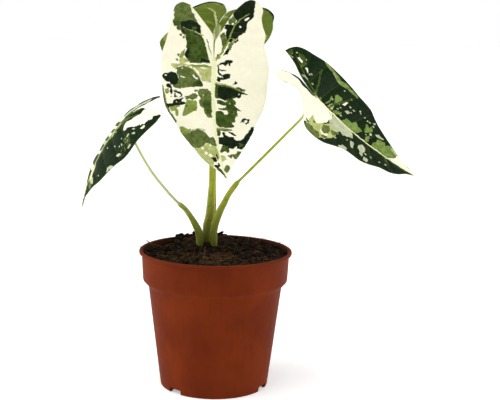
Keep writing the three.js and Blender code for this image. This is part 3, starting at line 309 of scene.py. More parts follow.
RIGHT_MARKS = [
    ("cream", [(-42, 18), (-35, 7), (-28, 1), (-20, 1), (-13, 5), (-3, 4), (2, 0), (16, 0), (19, 7), (17, 16),
               (16, 23), (13, 28), (11, 34), (6, 39), (0, 45), (-8, 33), (-13, 18), (-20, 17), (-36, 25)]),
    ("dark", [(-35, 6, 0.2), (-31, 2.5, 0.4), (-26, -1, 0.5), (-22, -3, 0.5)]),
    ("dark", [(-24, -6), (-24, -2.5), (-19, 1), (-15, 1.5), (-11.5, 2.5), (-7.5, 3.5), (-4.5, 3), (-0.5, 1),
              (0, -0.5), (-12, -8), (-20, -8)]),
    ("sage", [(-9, 1, 0.4), (-2, 1, 0.4)]),
    ("sage", [(13, 3.5), (14, 3), (17, 5), (18, 6), (17.5, 7), (15.5, 5.5)]),
    ("sage", [(10.3, 3.5, 0.5)]),
    ("sage", [(18.5, 1), (30, 0), (37, 0.5), (40, 10), (37, 12.5), (34.5, 15.5), (31, 18.5), (28.5, 16.5),
              (26.5, 20), (24.5, 21.5), (22, 22), (18.5, 22), (17.5, 15.5), (19, 8.5)]),
    ("pale", [(3.5, 29), (9, 34.5), (13, 29.5), (15, 27), (18.5, 20.5), (24, 20), (28, 21), (26.5, 27),
              (25, 31), (24, 35), (21, 40), (17, 45), (11, 51), (5, 53), (3, 45)]),
    ("olive", [(14.5, 30), (16.5, 26.5), (19, 24), (20.5, 28), (20, 33.5), (17.5, 37), (15.5, 35.5)]),
    ("olive", [(22.5, 27), (23, 24), (25.5, 22), (28, 20.5), (28.5, 22), (26, 26.5), (24, 30)]),
    ("olive", [(4, 44), (7, 42), (11, 42), (14, 41), (16, 44), (15, 47.5), (11, 50.5), (5, 53), (2, 49)]),
    ("olive", [(7.5, 35, 0.9)]),
    ("olive", [(18, 41.5, 1), (20.5, 38.8, 0.8)]),
    ("pale", [(16, 30.5, 0.5), (17.5, 35, 0.4)]),
    ("cream", [(14.5, 36.5, 0.6), (16.5, 39, 0.8), (18.5, 38, 0.9), (20.8, 35.5, 0.7)]),
    ("dark", [(1, 41, 0.8), (4, 42, 0.6)]),
    ("sage", [(39.5, 16.5), (41, 15.5), (42, 17.5), (42.5, 23.5), (41, 24.5), (40, 21)]),
    ("sage", [(31.5, 35), (33, 33.5), (35, 31), (36.5, 30.5), (38, 32.5), (36, 35), (33, 37)]),
    *spots("sage", (27, 29, 0.8), (36, 19.5, 0.7), (53.6, 19.5, 0.7), (59, 17.5, 0.7), (66.7, 15.5, 0.6),
                   (72, 13, 0.6)),
    ("sage", [(46, 18.5), (46.5, 14), (49.5, 9.5), (52, 11.5), (53.5, 15.5), (51, 20), (51, 25), (49.5, 24.5),
              (48, 20)]),
    ("sage", [(52.5, 24.5), (54, 23.5), (56.5, 24), (56, 27.5), (53.5, 28)]),
    ("green", [(69.5, 1.5, 0.8), (71.5, 4.5, 0.8), (73.5, 7.5, 0.5)]),
    ("lime", [(-9, -46), (-9, -43), (-6, -42), (0, -40), (2.5, -39.5), (5, -37.5), (7, -36.5), (10, -37),
              (15, -37), (18.5, -39), (26, -38.5), (30, -39), (28, -40.5), (23, -41), (18, -42), (13, -42),
              (10, -45), (5, -48), (-4, -48)]),
    ("dark", [(-9, -45.5), (-4, -44), (2, -42.5), (8, -41), (13, -42), (10, -47), (2, -49), (-8, -49)]),
    ("sage", [(0, -40.5, 0.5), (7, -37.5, 0.6), (15, -38, 0.5)]),
    ("green", [(-27.5, -31), (-25, -32.5), (-22, -29), (-20, -24), (-20.5, -20), (-22, -17), (-24, -19),
               (-24.5, -24), (-27, -28)]),
    *spots("lime", (-20.8, -25, 0.8), (-22.3, -19, 0.8)),
    ("sage", [(-22, -29.7, 0.7)]),
    ("cream", [(-27, -25), (-26, -27.5), (-23, -23.5), (-24, -22)]),
    ("cream", [(-19, -20.5), (-18, -21.5), (-15.5, -17.5), (-16, -15.5)]),
    *spots("sage", (-14, -15.6, 0.6), (-12.8, -18.3, 0.6), (-32.7, -25.5, 0.7), (-29.3, -29.8, 0.6),
                   (-33.4, -22, 0.6), (-31.4, -21.5, 0.5)),
    ("green", [(-36, -22), (-33, -22), (-32, -30), (-35, -30)]),
    ("pale", [(-18, -8.7, 0.5), (-16.8, -8, 0.4)]),
    ("sage", [(-16.6, -10.5, 0.5), (-13.9, -9.4, 0.5)]),
    ("sage", [(-12.8, -3.4, 0.5)]),
    ("pale", [(-8.3, -9.2, 0.8)]),
    ("lime", [(-3, -2, 0.9)]),
    ("olive", [(1.5, -1.5), (4, -1.5), (4, -4.5), (2, -4.5)]),
    ("lime", [(12, -19), (12.5, -22.5), (14.5, -24), (19, -24.5), (19, -22), (17, -18.5), (15, -12.5),
              (13.5, -16), (13, -18)]),
    ("dark", [(12.5, -15, 0.8)]),
    ("sage", [(11.6, -13.4, 0.6)]),
    ("pale", [(11.5, -3), (13.5, -9), (15, -10), (16, -5), (15, -3.5)]),
    ("lime", [(16.5, -3.5), (19.5, -6), (23.5, -9), (23.5, -6.5), (20.5, -2.5), (18, -1.5)]),
    ("cream", [(20.5, -18.5), (21.5, -21.5), (23.5, -25.5), (24.5, -25.5), (23.5, -22), (22.5, -19)]),
    ("lime", [(26, -32.6, 0.9)]),
    *spots("sage", (16.7, -34, 0.7), (18.6, -16.6, 0.5), (19.7, -9.5, 0.5), (21, -13, 0.6), (24.3, -5.5, 0.5),
                   (28, -22.8, 0.7), (32, -22.8, 0.6), (30.6, -18, 0.6), (37, -27.4, 0.7), (38, -26, 0.5)),
    *spots("cream", (42.8, -25.3, 0.7), (45.9, -23.3, 0.7)),
    ("sage", [(48.9, -23, 0.7)]),
    ("sage", [(51, -25), (53.5, -26.5), (53, -24.5)]),
    *spots("sage", (52.9, -21.5, 0.7), (49.5, -7.8, 0.7), (53, -12, 0.7)),
    ("sage", [(26, -13.5), (27.5, -16.8), (29.5, -16.5), (29, -14.5), (28, -13)]),
    ("lime", [(26.5, -1), (28, -3), (30, -7.5), (32.5, -8.5), (34.5, -7.5), (36, -10), (38.5, -12.5),
              (40.5, -8.5), (42.5, -9.5), (44.5, -8), (43, -4.5), (41, -1)]),
    ("lime", [(46.5, -12.5), (47, -18.5), (48.5, -18), (50.5, -15.5), (51, -20), (53, -18.5), (53.5, -16),
              (50, -11.5), (47.5, -10)]),
    ("lime", [(50.5, -1.5), (51, -5), (52.5, -9.5), (53.5, -8), (53, -3.5)]),
    ("sage", [(57.5, -16), (60, -17.5), (62.5, -16), (64.5, -15.5), (62, -14.5), (59.5, -14)]),
    ("lime", [(57, -1.5), (58.5, -6.5), (60.5, -8), (60.5, -11.5), (63, -13), (66, -12.5), (68, -10),
              (71, -13.5), (73, -14.5), (79, -11.5), (78.5, -6), (75, -2), (70, -1)]),
    ("sage", [(72.5, -15), (75, -14), (79.5, -11.5), (79, -8.5), (76, -10.5), (73.5, -12)]),
    ("cream", [(74, -1), (77, -3.5), (79, -5.5), (80, -10.5), (84, -8.5), (90, -6), (95, -3.5), (99, -1),
               (99, 1), (90, 0), (80, 0)]),
    ("sage", [(90, -4.3, 0.4), (93.5, -2.8, 0.4)]),
    ("green", [(0, 0, 0.8), (-3, -5, 0.6), (-4.5, -12, 0.5), (-7, -23, 0.5), (-8, -33, 0.4)]),
    ("green", [(13, -2, 0.4), (15, -12, 0.4), (20, -21, 0.4), (26, -32, 0.3)]),
    ("lime", [(9, -3.5, 0.3), (10.5, -10, 0.4), (10.2, -15.5, 0.3)]),
    ("straw", [(-1, 0, 0.9), (20, 0, 0.8), (60, 0, 0.7), (95, 0, 0.3)]),
]

# Shapes. Margins, costa and branches give the second number as a distance from the midrib, for the positive
# half first. Bend, crown and twist are in degrees per millimetre. A lateral vein is the place where it
# leaves the midrib and the one where it meets the margin. A branch is the part of the costa's length where
# it starts and the place where it meets the margin.

BLADE_THICKNESS = 0.7
BLADE_ROWS = 150
LOBE_ROWS = 100
BLADE_COLUMNS = 68
JUNCTION_ROW_S = 6.0
COLUMN_CROWDING = 1.25
LOBE_LIFT_REACH = 50.0

FRONT = dict(
    junction=(-3.3, -12, 256), azimuth=-90, dip=68, roll=0, tip_bend=-0.1, lobe_bend=0.1,
    fold=(0, 0), crown=(0.1, 0.1), twist=0, sweep=-11, lobe_lift=(0, 0), length=95,
    outer=(
        [(88, 3), (83, 9), (75, 15), (65, 21), (57, 26), (48, 30), (37, 36), (28, 38), (14, 39), (1, 40),
         (-8, 39), (-18, 36), (-29, 34), (-38, 32), (-45, 30), (-48, 25), (-46, 19)],
        [(88, 4), (81, 9), (74, 15), (66, 21), (57, 27), (48, 31), (39, 36), (30, 39), (18, 40.5),
         (4, 41.8), (-6, 40), (-14, 38), (-22, 39), (-29, 37), (-36, 36), (-43, 37), (-49, 33), (-51, 28),
         (-49, 23)],
    ),
    inner=(
        [(-10, 0.4), (-18, 0.6), (-22, 1.6), (-27, 4.6), (-33, 9), (-40, 14), (-46, 19)],
        [(-10, 0.4), (-16, 0.8), (-21, 3.5), (-27, 7), (-36, 12), (-43, 17), (-49, 23)],
    ),
    base="cream",
    rib=(1.7, 0.5),
    laterals=([(2, -2), (21, 24), (42, 44), (66, 58), (80, 78)],
              [(3, 6), (17, 29), (36, 47), (51, 60), (68, 75)]),
    costa=([(0, 0.5), (-8, 4.5), (-13, 5.5), (-20.5, 9), (-26, 9.5), (-32, 12), (-44, 18.5)],
           [(0, 0.5), (-8, 6.5), (-16, 10.5), (-25, 14), (-33, 18), (-39, 26.5)]),
    branches=([(0.28, -14), (0.5, -29), (0.75, -40)], [(0.35, -12), (0.55, -24), (0.75, -37)]),
    marks=FRONT_MARKS,
)

BACK = dict(
    junction=(-0.7, 50.6, 282), azimuth=109, dip=36, roll=-1, tip_bend=0.4, lobe_bend=0.45,
    fold=(6, -7), crown=(0.14, 0.6), twist=0, sweep=0, lobe_lift=(0, 0), length=100,
    outer=(
        [(92, 4), (84, 8), (77, 14), (70, 19), (61, 26), (53, 31), (42, 36), (32, 41), (19, 44), (7, 46),
         (-5, 45), (-15, 42), (-26, 39), (-32, 34), (-36, 28), (-36, 21), (-33, 14)],
        [(92, 4), (84, 8), (77, 14), (70, 19), (61, 26), (53, 31), (42, 36), (32, 40), (24, 44), (15, 47),
         (9, 45.5), (4, 42.5), (-5, 39.5), (-14, 37.5), (-25, 34), (-32, 30), (-37, 24), (-39, 19),
         (-38, 13)],
    ),
    inner=(
        [(-8, 0.5), (-14, 1), (-19, 1.7), (-22, 2.8), (-26, 6), (-33, 14)],
        [(-8, 0.1), (-14, -0.3), (-19, -1), (-22.5, -0.5), (-27, 1.6), (-34, 6), (-38, 13)],
    ),
    base="green",
    rib=(1.7, 0.5),
    laterals=([(2, 5), (18, 27), (36, 47), (54, 64), (72, 80)],
              [(2, 4), (17, 26), (34, 46), (53, 63), (71, 79)]),
    costa=([(-1, 2), (-12, 8), (-21, 16), (-28, 25)], [(-1, 2), (-13, 6), (-24, 11), (-33, 18)]),
    branches=([(0.3, -13), (0.55, -24), (0.8, -32)], [(0.3, -12), (0.55, -24), (0.8, -33)]),
    marks=BACK_MARKS,
)

LEFT = dict(
    junction=(-71.9, -16.4, 210), azimuth=-190, dip=49, roll=-6, tip_bend=0.42, lobe_bend=1.2,
    fold=(-10, 15), crown=(0.44, 1.1), twist=-0.11, sweep=-8, lobe_lift=(0, 0), length=74,
    outer=(
        [(67, 0.6), (60, 1.4), (54, 6.5), (43, 18.5), (32, 24), (23, 28), (15, 30), (6, 31), (-2, 31),
         (-10, 30), (-18, 28), (-25, 25), (-30, 20), (-31, 15)],
        [(69, 1), (65, 3.3), (60, 8), (55, 12), (47, 18.7), (35, 25), (26, 29), (18, 32.5), (11, 34),
         (2, 34.3), (-9, 33.7), (-19, 32.4), (-28, 30), (-34.5, 26.5), (-38.7, 20.5)],
    ),
    inner=(
        [(-7, 1.6), (-14, 1.2), (-21, 1.5), (-26, 5.5), (-28.5, 10.5), (-31, 15)],
        [(-8, -0.6), (-12, 0.6), (-17, 2.2), (-20, 3.4), (-22.6, 7), (-25, 9.3), (-30, 12), (-35, 15.2),
         (-38.7, 20.5)],
    ),
    base="dark",
    rib=(1.2, 0.4),
    laterals=([(2, 5), (14, 21), (28, 36), (42, 49), (56, 60)],
              [(2, 4), (13, 20), (27, 35), (41, 48), (55, 60)]),
    costa=([(-1, 1.5), (-10, 7), (-18, 12), (-26, 18)], [(-1, 1.5), (-10, 8), (-20, 12), (-31, 17)]),
    branches=([(0.3, -10), (0.6, -20)], [(0.3, -11), (0.6, -22)]),
    marks=LEFT_MARKS,
)

RIGHT = dict(
    junction=(75.1, -10, 229.9), azimuth=2, dip=46, roll=27, tip_bend=-0.18, lobe_bend=0.36,
    fold=(-8, -7), crown=(0.3, -0.1), twist=0.04, sweep=0.7, lobe_lift=(0, -3), length=99,
    outer=(
        [(91, 5), (84, 13), (77, 18), (68, 21), (59, 27), (51, 31), (43, 32), (36, 34), (28, 40),
         (20, 46), (11, 49), (4, 49), (-1, 43), (-6, 34), (-10, 24), (-13, 17), (-18, 15), (-24, 18),
         (-30, 22), (-36, 22), (-38, 19)],
        [(93, 4), (86, 7), (80, 11), (74, 15), (66, 20), (56, 27), (50, 33), (45, 38), (37, 40.8), (29, 42.2),
         (20, 44.4), (10, 45.6), (0, 45.4), (-9, 44.5), (-19, 41.7), (-25, 40.6), (-31, 37.6), (-35, 32),
         (-38, 25)],
    ),
    inner=(
        [(-3, -0.2), (-8, -1), (-12, -2.4), (-16, -4.4), (-18, -5.4), (-20, -5.2), (-23, -4.2),
         (-26, -1.6), (-31, 2.2), (-35, 6.7), (-37.5, 12.5), (-38, 19)],
        [(-10, 2), (-16, 5), (-22, 10), (-27, 16), (-34, 22), (-38, 25)],
    ),
    base="dark",
    rib=(1.3, 0.45),
    laterals=([(3, 12), (18, 30), (36, 47), (54, 64), (72, 80)],
              [(3, 13), (14, 30), (34, 48), (52, 62), (70, 79)]),
    costa=([(-1, 2), (-10, 8), (-20, 8), (-31, 12)], [(-1, 2), (-12, 8), (-22, 17), (-30, 27)]),
    branches=([(0.3, -6)], [(0.3, -6), (0.55, -20), (0.8, -30)]),
    marks=RIGHT_MARKS,
)

# Leaf stalks: x, y, z and radius at each station, as the CAD solids have them.
STALKS = {
    "front": (FRONT, [
        (-7, 15, 98, 3.3), (-7.2, 15, 112, 3.4), (-7, 15, 124, 3.4), (-5.3, 15, 132, 3.35),
        (-4.2, 14.6, 145, 3.15), (-3.4, 13.6, 161, 2.7), (-3.3, 12, 178, 2.5), (-3.3, 9.5, 195, 2.4),
        (-3.3, 4.5, 215, 2.3), (-3.3, -3, 238, 2.15),
    ]),
    "back": (BACK, [
        (-4.5, 22.5, 98, 3.1), (-4.2, 22.6, 112, 3.2), (-3.2, 23, 136, 3.2), (-3.3, 23.6, 160, 3),
        (-3.2, 26, 190, 2.7), (-2.6, 31, 220, 2.4), (-1.8, 38, 250, 2.2), (-1.2, 44.5, 271, 2),
    ]),
    "left": (LEFT, [
        (-12, 10, 98, 3), (-12.3, 10, 110, 3.1), (-13.5, 9.8, 120, 3), (-16.5, 9.3, 126.5, 2.6),
        (-19.4, 9, 131.5, 2.2), (-24.2, 8, 138.6, 1.9), (-28.8, 7.2, 142.8, 1.8), (-30, 6.9, 143.9, 1.15),
        (-33.3, 6, 147.3, 1.05), (-37.8, 4.8, 152.4, 1.1), (-48.9, 1, 166.8, 1.05), (-56, -3, 178.7, 1),
        (-62.3, -7.5, 191.5, 1), (-68.5, -12.6, 203.5, 1.1),
    ]),
    "right": (RIGHT, [
        (-1.4, 9, 98, 2.9), (-1.5, 9, 110, 2.9), (-1.7, 9, 120.5, 2.95), (-0.8, 8.8, 126.4, 2.95),
        (1, 8.5, 132.3, 2.9), (3.5, 8.2, 138.7, 2.75), (6.4, 7.8, 144.4, 2.5), (9.5, 7.4, 150.9, 2.2),
        (16.2, 6.2, 160.6, 1.9), (17.4, 6, 162, 1.2), (25.9, 4.5, 171, 1.1), (41.1, 1, 187.5, 1.05),
        (53.8, -2, 201.3, 1), (65.6, -5.5, 214.7, 1), (71.6, -8.4, 224.6, 1.1),
    ]),
}
# How pale each stalk's slender part is, from 0 to 1.
PALENESS = dict(front=0.3, back=1, left=0.9, right=0.05)


# Curves and small sums

FAR_AWAY = 1e9


def smooth_curve(points, per_span=20):
    """A centripetal Catmull-Rom curve through the points, as rows of numbers."""
    p = np.array(points, float)
    p = np.vstack([2 * p[0] - p[1], p, 2 * p[-1] - p[-2]])
    out = []
    for a, b, c, d in zip(p, p[1:], p[2:], p[3:]):
        gaps = [math.sqrt(np.linalg.norm(v - u)) for u, v in ((a, b), (b, c), (c, d))]
        k0, k1 = 0.0, gaps[0]
        k2, k3 = k1 + gaps[1], k1 + gaps[1] + gaps[2]
        t = np.linspace(k1, k2, per_span, endpoint=False)[:, None]
        a1 = (k1 - t) / (k1 - k0) * a + (t - k0) / (k1 - k0) * b
        a2 = (k2 - t) / (k2 - k1) * b + (t - k1) / (k2 - k1) * c
        a3 = (k3 - t) / (k3 - k2) * c + (t - k2) / (k3 - k2) * d
        b1 = (k2 - t) / (k2 - k0) * a1 + (t - k0) / (k2 - k0) * a2
        b2 = (k3 - t) / (k3 - k1) * a2 + (t - k1) / (k3 - k1) * a3
        out.append((k2 - t) / (k2 - k1) * b1 + (t - k1) / (k2 - k1) * b2)
    out.append(p[-2][None, :])
    return np.vstack(out)


def step_lengths(points):
    return np.linalg.norm(np.diff(points, axis=0), axis=1)


def along(curve, parts, dims=2):
    """Points at the given parts of the curve's length. Length is measured in the first dims columns."""
    steps = step_lengths(curve[:, :dims])
    length = np.concatenate([[0], np.cumsum(steps)])
    at = np.asarray(parts, float) * length[-1]
    return np.stack([np.interp(at, length, column) for column in curve.T], axis=-1)


def closest(flat, a, b):
    """Where each point is nearest to the line from a to b: the part of the line, and the way from there."""
    d = b - a
    u = np.clip(((flat - a) @ d) / max(d @ d, 1 / FAR_AWAY), 0, 1)
    return u, flat - a - u[:, None] * d


def smoothstep(low, high, x):
    """A smooth rise from 0 at low to 1 at high."""
    t = np.clip((x - low) / (high - low), 0, 1)
    return t * t * (3 - 2 * t)


NOISE_SHIFT = (13.7, 5.1, 2.9)


def noise_field(points, size, seed):
    """Smooth noise from about -1 to 1 at each point, with features of the given size."""
    scale = 1 / size
    shift = Vector([seed * step for step in NOISE_SHIFT])
    return np.array([noise.noise(Vector(p) * scale + shift) for p in points])


def turned(vectors, axes, angles):
    """Vectors turned about unit axes by angles in radians, row by row."""
    c, s = np.cos(angles)[:, None], np.sin(angles)[:, None]
    dot = np.sum(vectors * axes, axis=1, keepdims=True)
    return vectors * c + np.cross(axes, vectors) * s + axes * dot * (1 - c)


# The blade's surface

SIGNS = (1, -1)


def midrib_frame(leaf, s):
    """Origin, side and up of the bent midrib at each distance s from the junction."""
    azimuth, dip = math.radians(leaf["azimuth"]), math.radians(leaf["dip"])
    flat = math.cos(dip)
    heading = np.array([math.cos(azimuth) * flat, math.sin(azimuth) * flat, -math.sin(dip)])
    side = np.cross(heading, UP)
    side /= np.linalg.norm(side)
    normal = np.cross(side, heading)
    bend = np.radians(np.where(s > 0, leaf["tip_bend"], leaf["lobe_bend"]))
    turn = bend * s
    ahead, drop = np.sin(turn) / bend, (1 - np.cos(turn)) / bend
    origin = np.array(leaf["junction"]) + ahead[:, None] * heading - drop[:, None] * normal
    tangent = np.cos(turn)[:, None] * heading - np.sin(turn)[:, None] * normal
    up = np.sin(turn)[:, None] * heading + np.cos(turn)[:, None] * normal
    roll = np.radians(leaf["roll"] + leaf["twist"] * s)
    sides = turned(np.tile(side, (len(s), 1)), tangent, roll)
    return origin, sides, turned(up, tangent, roll)


def blade_points(leaf, s, t, half):
    """Points of the blade's middle surface at s along and t out from the midrib, on half 0 or 1."""
    origin, side, up = midrib_frame(leaf, s)
    fold, crown = math.radians(leaf["fold"][half]), math.radians(leaf["crown"][half])
    across = (np.sin(fold + crown * t) - math.sin(fold)) / crown
    fall = (math.cos(fold) - np.cos(fold + crown * t)) / crown
    sway = np.where(s > 0, leaf["sweep"] * (s / leaf["length"]) ** 3, 0)
    lift = np.where(s < 0, leaf["lobe_lift"][half] * (s / LOBE_LIFT_REACH) ** 2, 0)
    return origin + side * (SIGNS[half] * across + sway)[:, None] + up * (lift - fall)[:, None]


def blade_grid(leaf, half):
    """Flat coordinates of one half, row by row from the tip to the lobe's end, out from the midrib."""
    outer = smooth_curve([(leaf["length"], 0), *leaf["outer"][half]])
    inner = smooth_curve([(0, 0), *leaf["inner"][half]])
    steps = step_lengths(outer)
    length = np.concatenate([[0], np.cumsum(steps)]) / steps.sum()
    waist = length[np.argmax(outer[:, 0] <= JUNCTION_ROW_S)]
    part = np.linspace(0, 1, BLADE_ROWS + 1)
    start = np.stack([leaf["length"] * (1 - part), 0 * part], axis=-1)
    lobe = np.linspace(0, 1, LOBE_ROWS + 1)[1:]
    starts = np.vstack([start, along(inner, lobe)])
    ends = np.vstack([along(outer, waist * part), along(outer, waist + (1 - waist) * lobe)])
    mix = np.linspace(0, 1, BLADE_COLUMNS + 1) ** COLUMN_CROWDING
    return starts[:, None, :] + (ends - starts)[:, None, :] * mix[None, :, None]


# Veins. A kind of vein has its half-width at its start, at its end and how pale it is. The costa starts at
# a part of the midrib's half-width. A bend is the control point's place between a vein's two ends.

MIDRIB_REACH = 0.97
COSTA_VEIN = (0.62, 0.25, 0.95)
LATERAL_VEIN = (0.45, 0.15, 0.3)
LATERAL_BEND = (0.2, 0.5)
BRANCH_VEIN = (0.38, 0.15, 0.25)
BRANCH_BEND = (0.35, 0.55)
VEIN_REACH = 0.96
VEIN_POINTS = 14


def bezier(a, b, c):
    t = np.linspace(0, 1, VEIN_POINTS)[:, None]
    a, b, c = (np.array(p, float) for p in (a, b, c))
    return (1 - t) ** 2 * a + 2 * t * (1 - t) * b + t * t * c


def margin_at(leaf, half, s):
    """Where the outer margin is at s, signed across the midrib."""
    curve = smooth_curve([(leaf["length"], 0), *leaf["outer"][half]])
    n = int(np.argmax(curve[:, 0] <= s))
    return np.array([curve[n, 0], curve[n, 1] * SIGNS[half]])


def vein_lines(leaf):
    """Every main vein as (points, half-width at its start, at its end, how pale it is)."""
    lines = [(np.array([(0, 0), (leaf["length"] * MIDRIB_REACH, 0)], float), *leaf["rib"], 1.0)]
    for half, sign in enumerate(SIGNS):
        costa = smooth_curve([(s, t * sign) for s, t in leaf["costa"][half]], per_span=8)
        lines.append((costa, leaf["rib"][0] * COSTA_VEIN[0], *COSTA_VEIN[1:]))
        for start, end in leaf["laterals"][half]:
            far = margin_at(leaf, half, end)
            middle = (start + LATERAL_BEND[0] * (end - start), far[1] * LATERAL_BEND[1])
            lines.append((bezier((start, 0), middle, far * (1, VEIN_REACH)), *LATERAL_VEIN))
        for part, end in leaf["branches"][half]:
            root = along(costa, [part])[0]
            far = margin_at(leaf, half, end)
            middle = root + (far - root) * BRANCH_BEND
            lines.append((bezier(root, middle, far * (1, VEIN_REACH)), *BRANCH_VEIN))
    return lines


def nearest_vein(flat, lines):
    """For each flat point: its vein's signed and plain distance over half-width, half-width and paleness.

    The last column is the plain distance to the nearest vein's middle line.
    """
    best = np.full(len(flat), FAR_AWAY)
    signed, width, tone = np.zeros(len(flat)), np.ones(len(flat)), np.zeros(len(flat))
    gap = np.full(len(flat), FAR_AWAY)
    for points, wide, thin, pale in lines:
        steps = step_lengths(points)
        starts = np.concatenate([[0], np.cumsum(steps)[:-1]]) / steps.sum()
        for a, b, begin, step in zip(points, points[1:], starts, steps):
            d = b - a
            u, off = closest(flat, a, b)
            dist = np.linalg.norm(off, axis=1)
            w = wide + (thin - wide) * (begin + u * step / steps.sum())
            ratio = dist / w
            side = np.sign(off[:, 1] * d[0] - off[:, 0] * d[1])
            near = ratio < best
            best = np.where(near, ratio, best)
            signed = np.where(near, ratio * side, signed)
            width = np.where(near, w, width)
            tone = np.where(near, pale, tone)
            gap = np.minimum(gap, dist)
    return signed, best, width, tone, gap


# Marks on the blade: later ones cover earlier ones. The material lays the overlays over the rest. Each tone
# keeps a field that is positive inside it. Noise of each size in RAGGED moves a border by up to its reach.

TONES = ("sage", "straw", "pale", "lime", "olive", "green", "dark", "cream", "speckle", "rim")
OVERLAYS = ("speckle", "rim")
FIELD_LIMIT = 5.0
RAGGED = ((5.0, 0.7), (1.9, 0.75))
RAGGED_STRETCH = 0.6


def polygon_field(points, flat):
    """Distance to the polygon's outline, positive inside."""
    corners = np.array(points, float)
    far = np.full(len(flat), FAR_AWAY)
    inside = np.zeros(len(flat), bool)
    for a, b in zip(corners, np.roll(corners, -1, axis=0)):
        far = np.minimum(far, np.linalg.norm(closest(flat, a, b)[1], axis=1))
        crosses = (a[1] > flat[:, 1]) != (b[1] > flat[:, 1])
        if a[1] != b[1]:
            at = a[0] + (flat[:, 1] - a[1]) / (b[1] - a[1]) * (b[0] - a[0])
            inside ^= crosses & (flat[:, 0] < at)
    return np.where(inside, far, -far)


def stroke_field(points, flat):
    """Distance inside a stroke through points that give a half-width each. One point makes a round spot."""
    marks = [np.array(p, float) for p in points]
    out = np.full(len(flat), -FAR_AWAY)
    for a, b in zip(marks, marks[1:] or marks):
        u, off = closest(flat, a[:2], b[:2])
        out = np.maximum(out, a[2] + (b[2] - a[2]) * u - np.linalg.norm(off, axis=1))
    return out


def mark_fields(leaf, flat, seed):
    """Each tone's field at the flat points, with ragged borders."""
    wander = np.stack([flat[:, 0], flat[:, 1] * RAGGED_STRETCH, np.zeros(len(flat))], axis=-1)
    place = flat.copy()
    for size, reach in RAGGED:
        place += reach * np.stack([noise_field(wander, size, seed + k) for k in (1, 2)], axis=-1)
    fields = {tone: np.full(len(flat), -FIELD_LIMIT) for tone in TONES}
    for tone, points in leaf["marks"]:
        inside = polygon_field(points, place) if len(points[0]) == 2 else stroke_field(points, place)
        for other in TONES:
            if other != tone and tone not in OVERLAYS and other not in OVERLAYS:
                fields[other] = np.minimum(fields[other], -inside)
        fields[tone] = np.maximum(fields[tone], inside)
    return {tone: np.clip(field, -FIELD_LIMIT, FIELD_LIMIT) for tone, field in fields.items()}


def set_attribute(mesh, name, values, kind="FLOAT"):
    attribute = mesh.attributes.new(name, kind, "POINT")
    key = "value" if kind == "FLOAT" else "vector"
    attribute.data.foreach_set(key, np.asarray(values, np.float32).ravel())


# The blade's relief, in millimetres. A main vein is the midrib or a costa. Its rib stands out above the leaf
# a little and a side vein is sunk, and both stand out below. Heights and depths are parts of the half-width.
SWELL_HEIGHT = 0.55
SWELL_REACH = 3.2
EDGE_FADE = 4
EDGE_DROP = 0.3
WAVE_HEIGHT = 0.7
WAVE_SIZE = 24.0
WAVE_START = (4, 20)
JUNCTION_CALM = 3
MAIN_VEIN_TONE = 0.8
RIB_HEIGHT = dict(main=0.12, side=-0.1)
RIB_DEPTH = dict(main=1.05, side=0.8)
MARGIN_THICKNESS = (0.55, 0.45)
MARGIN_REACH = 1.5
ATTRIBUTE_LIMIT = 9


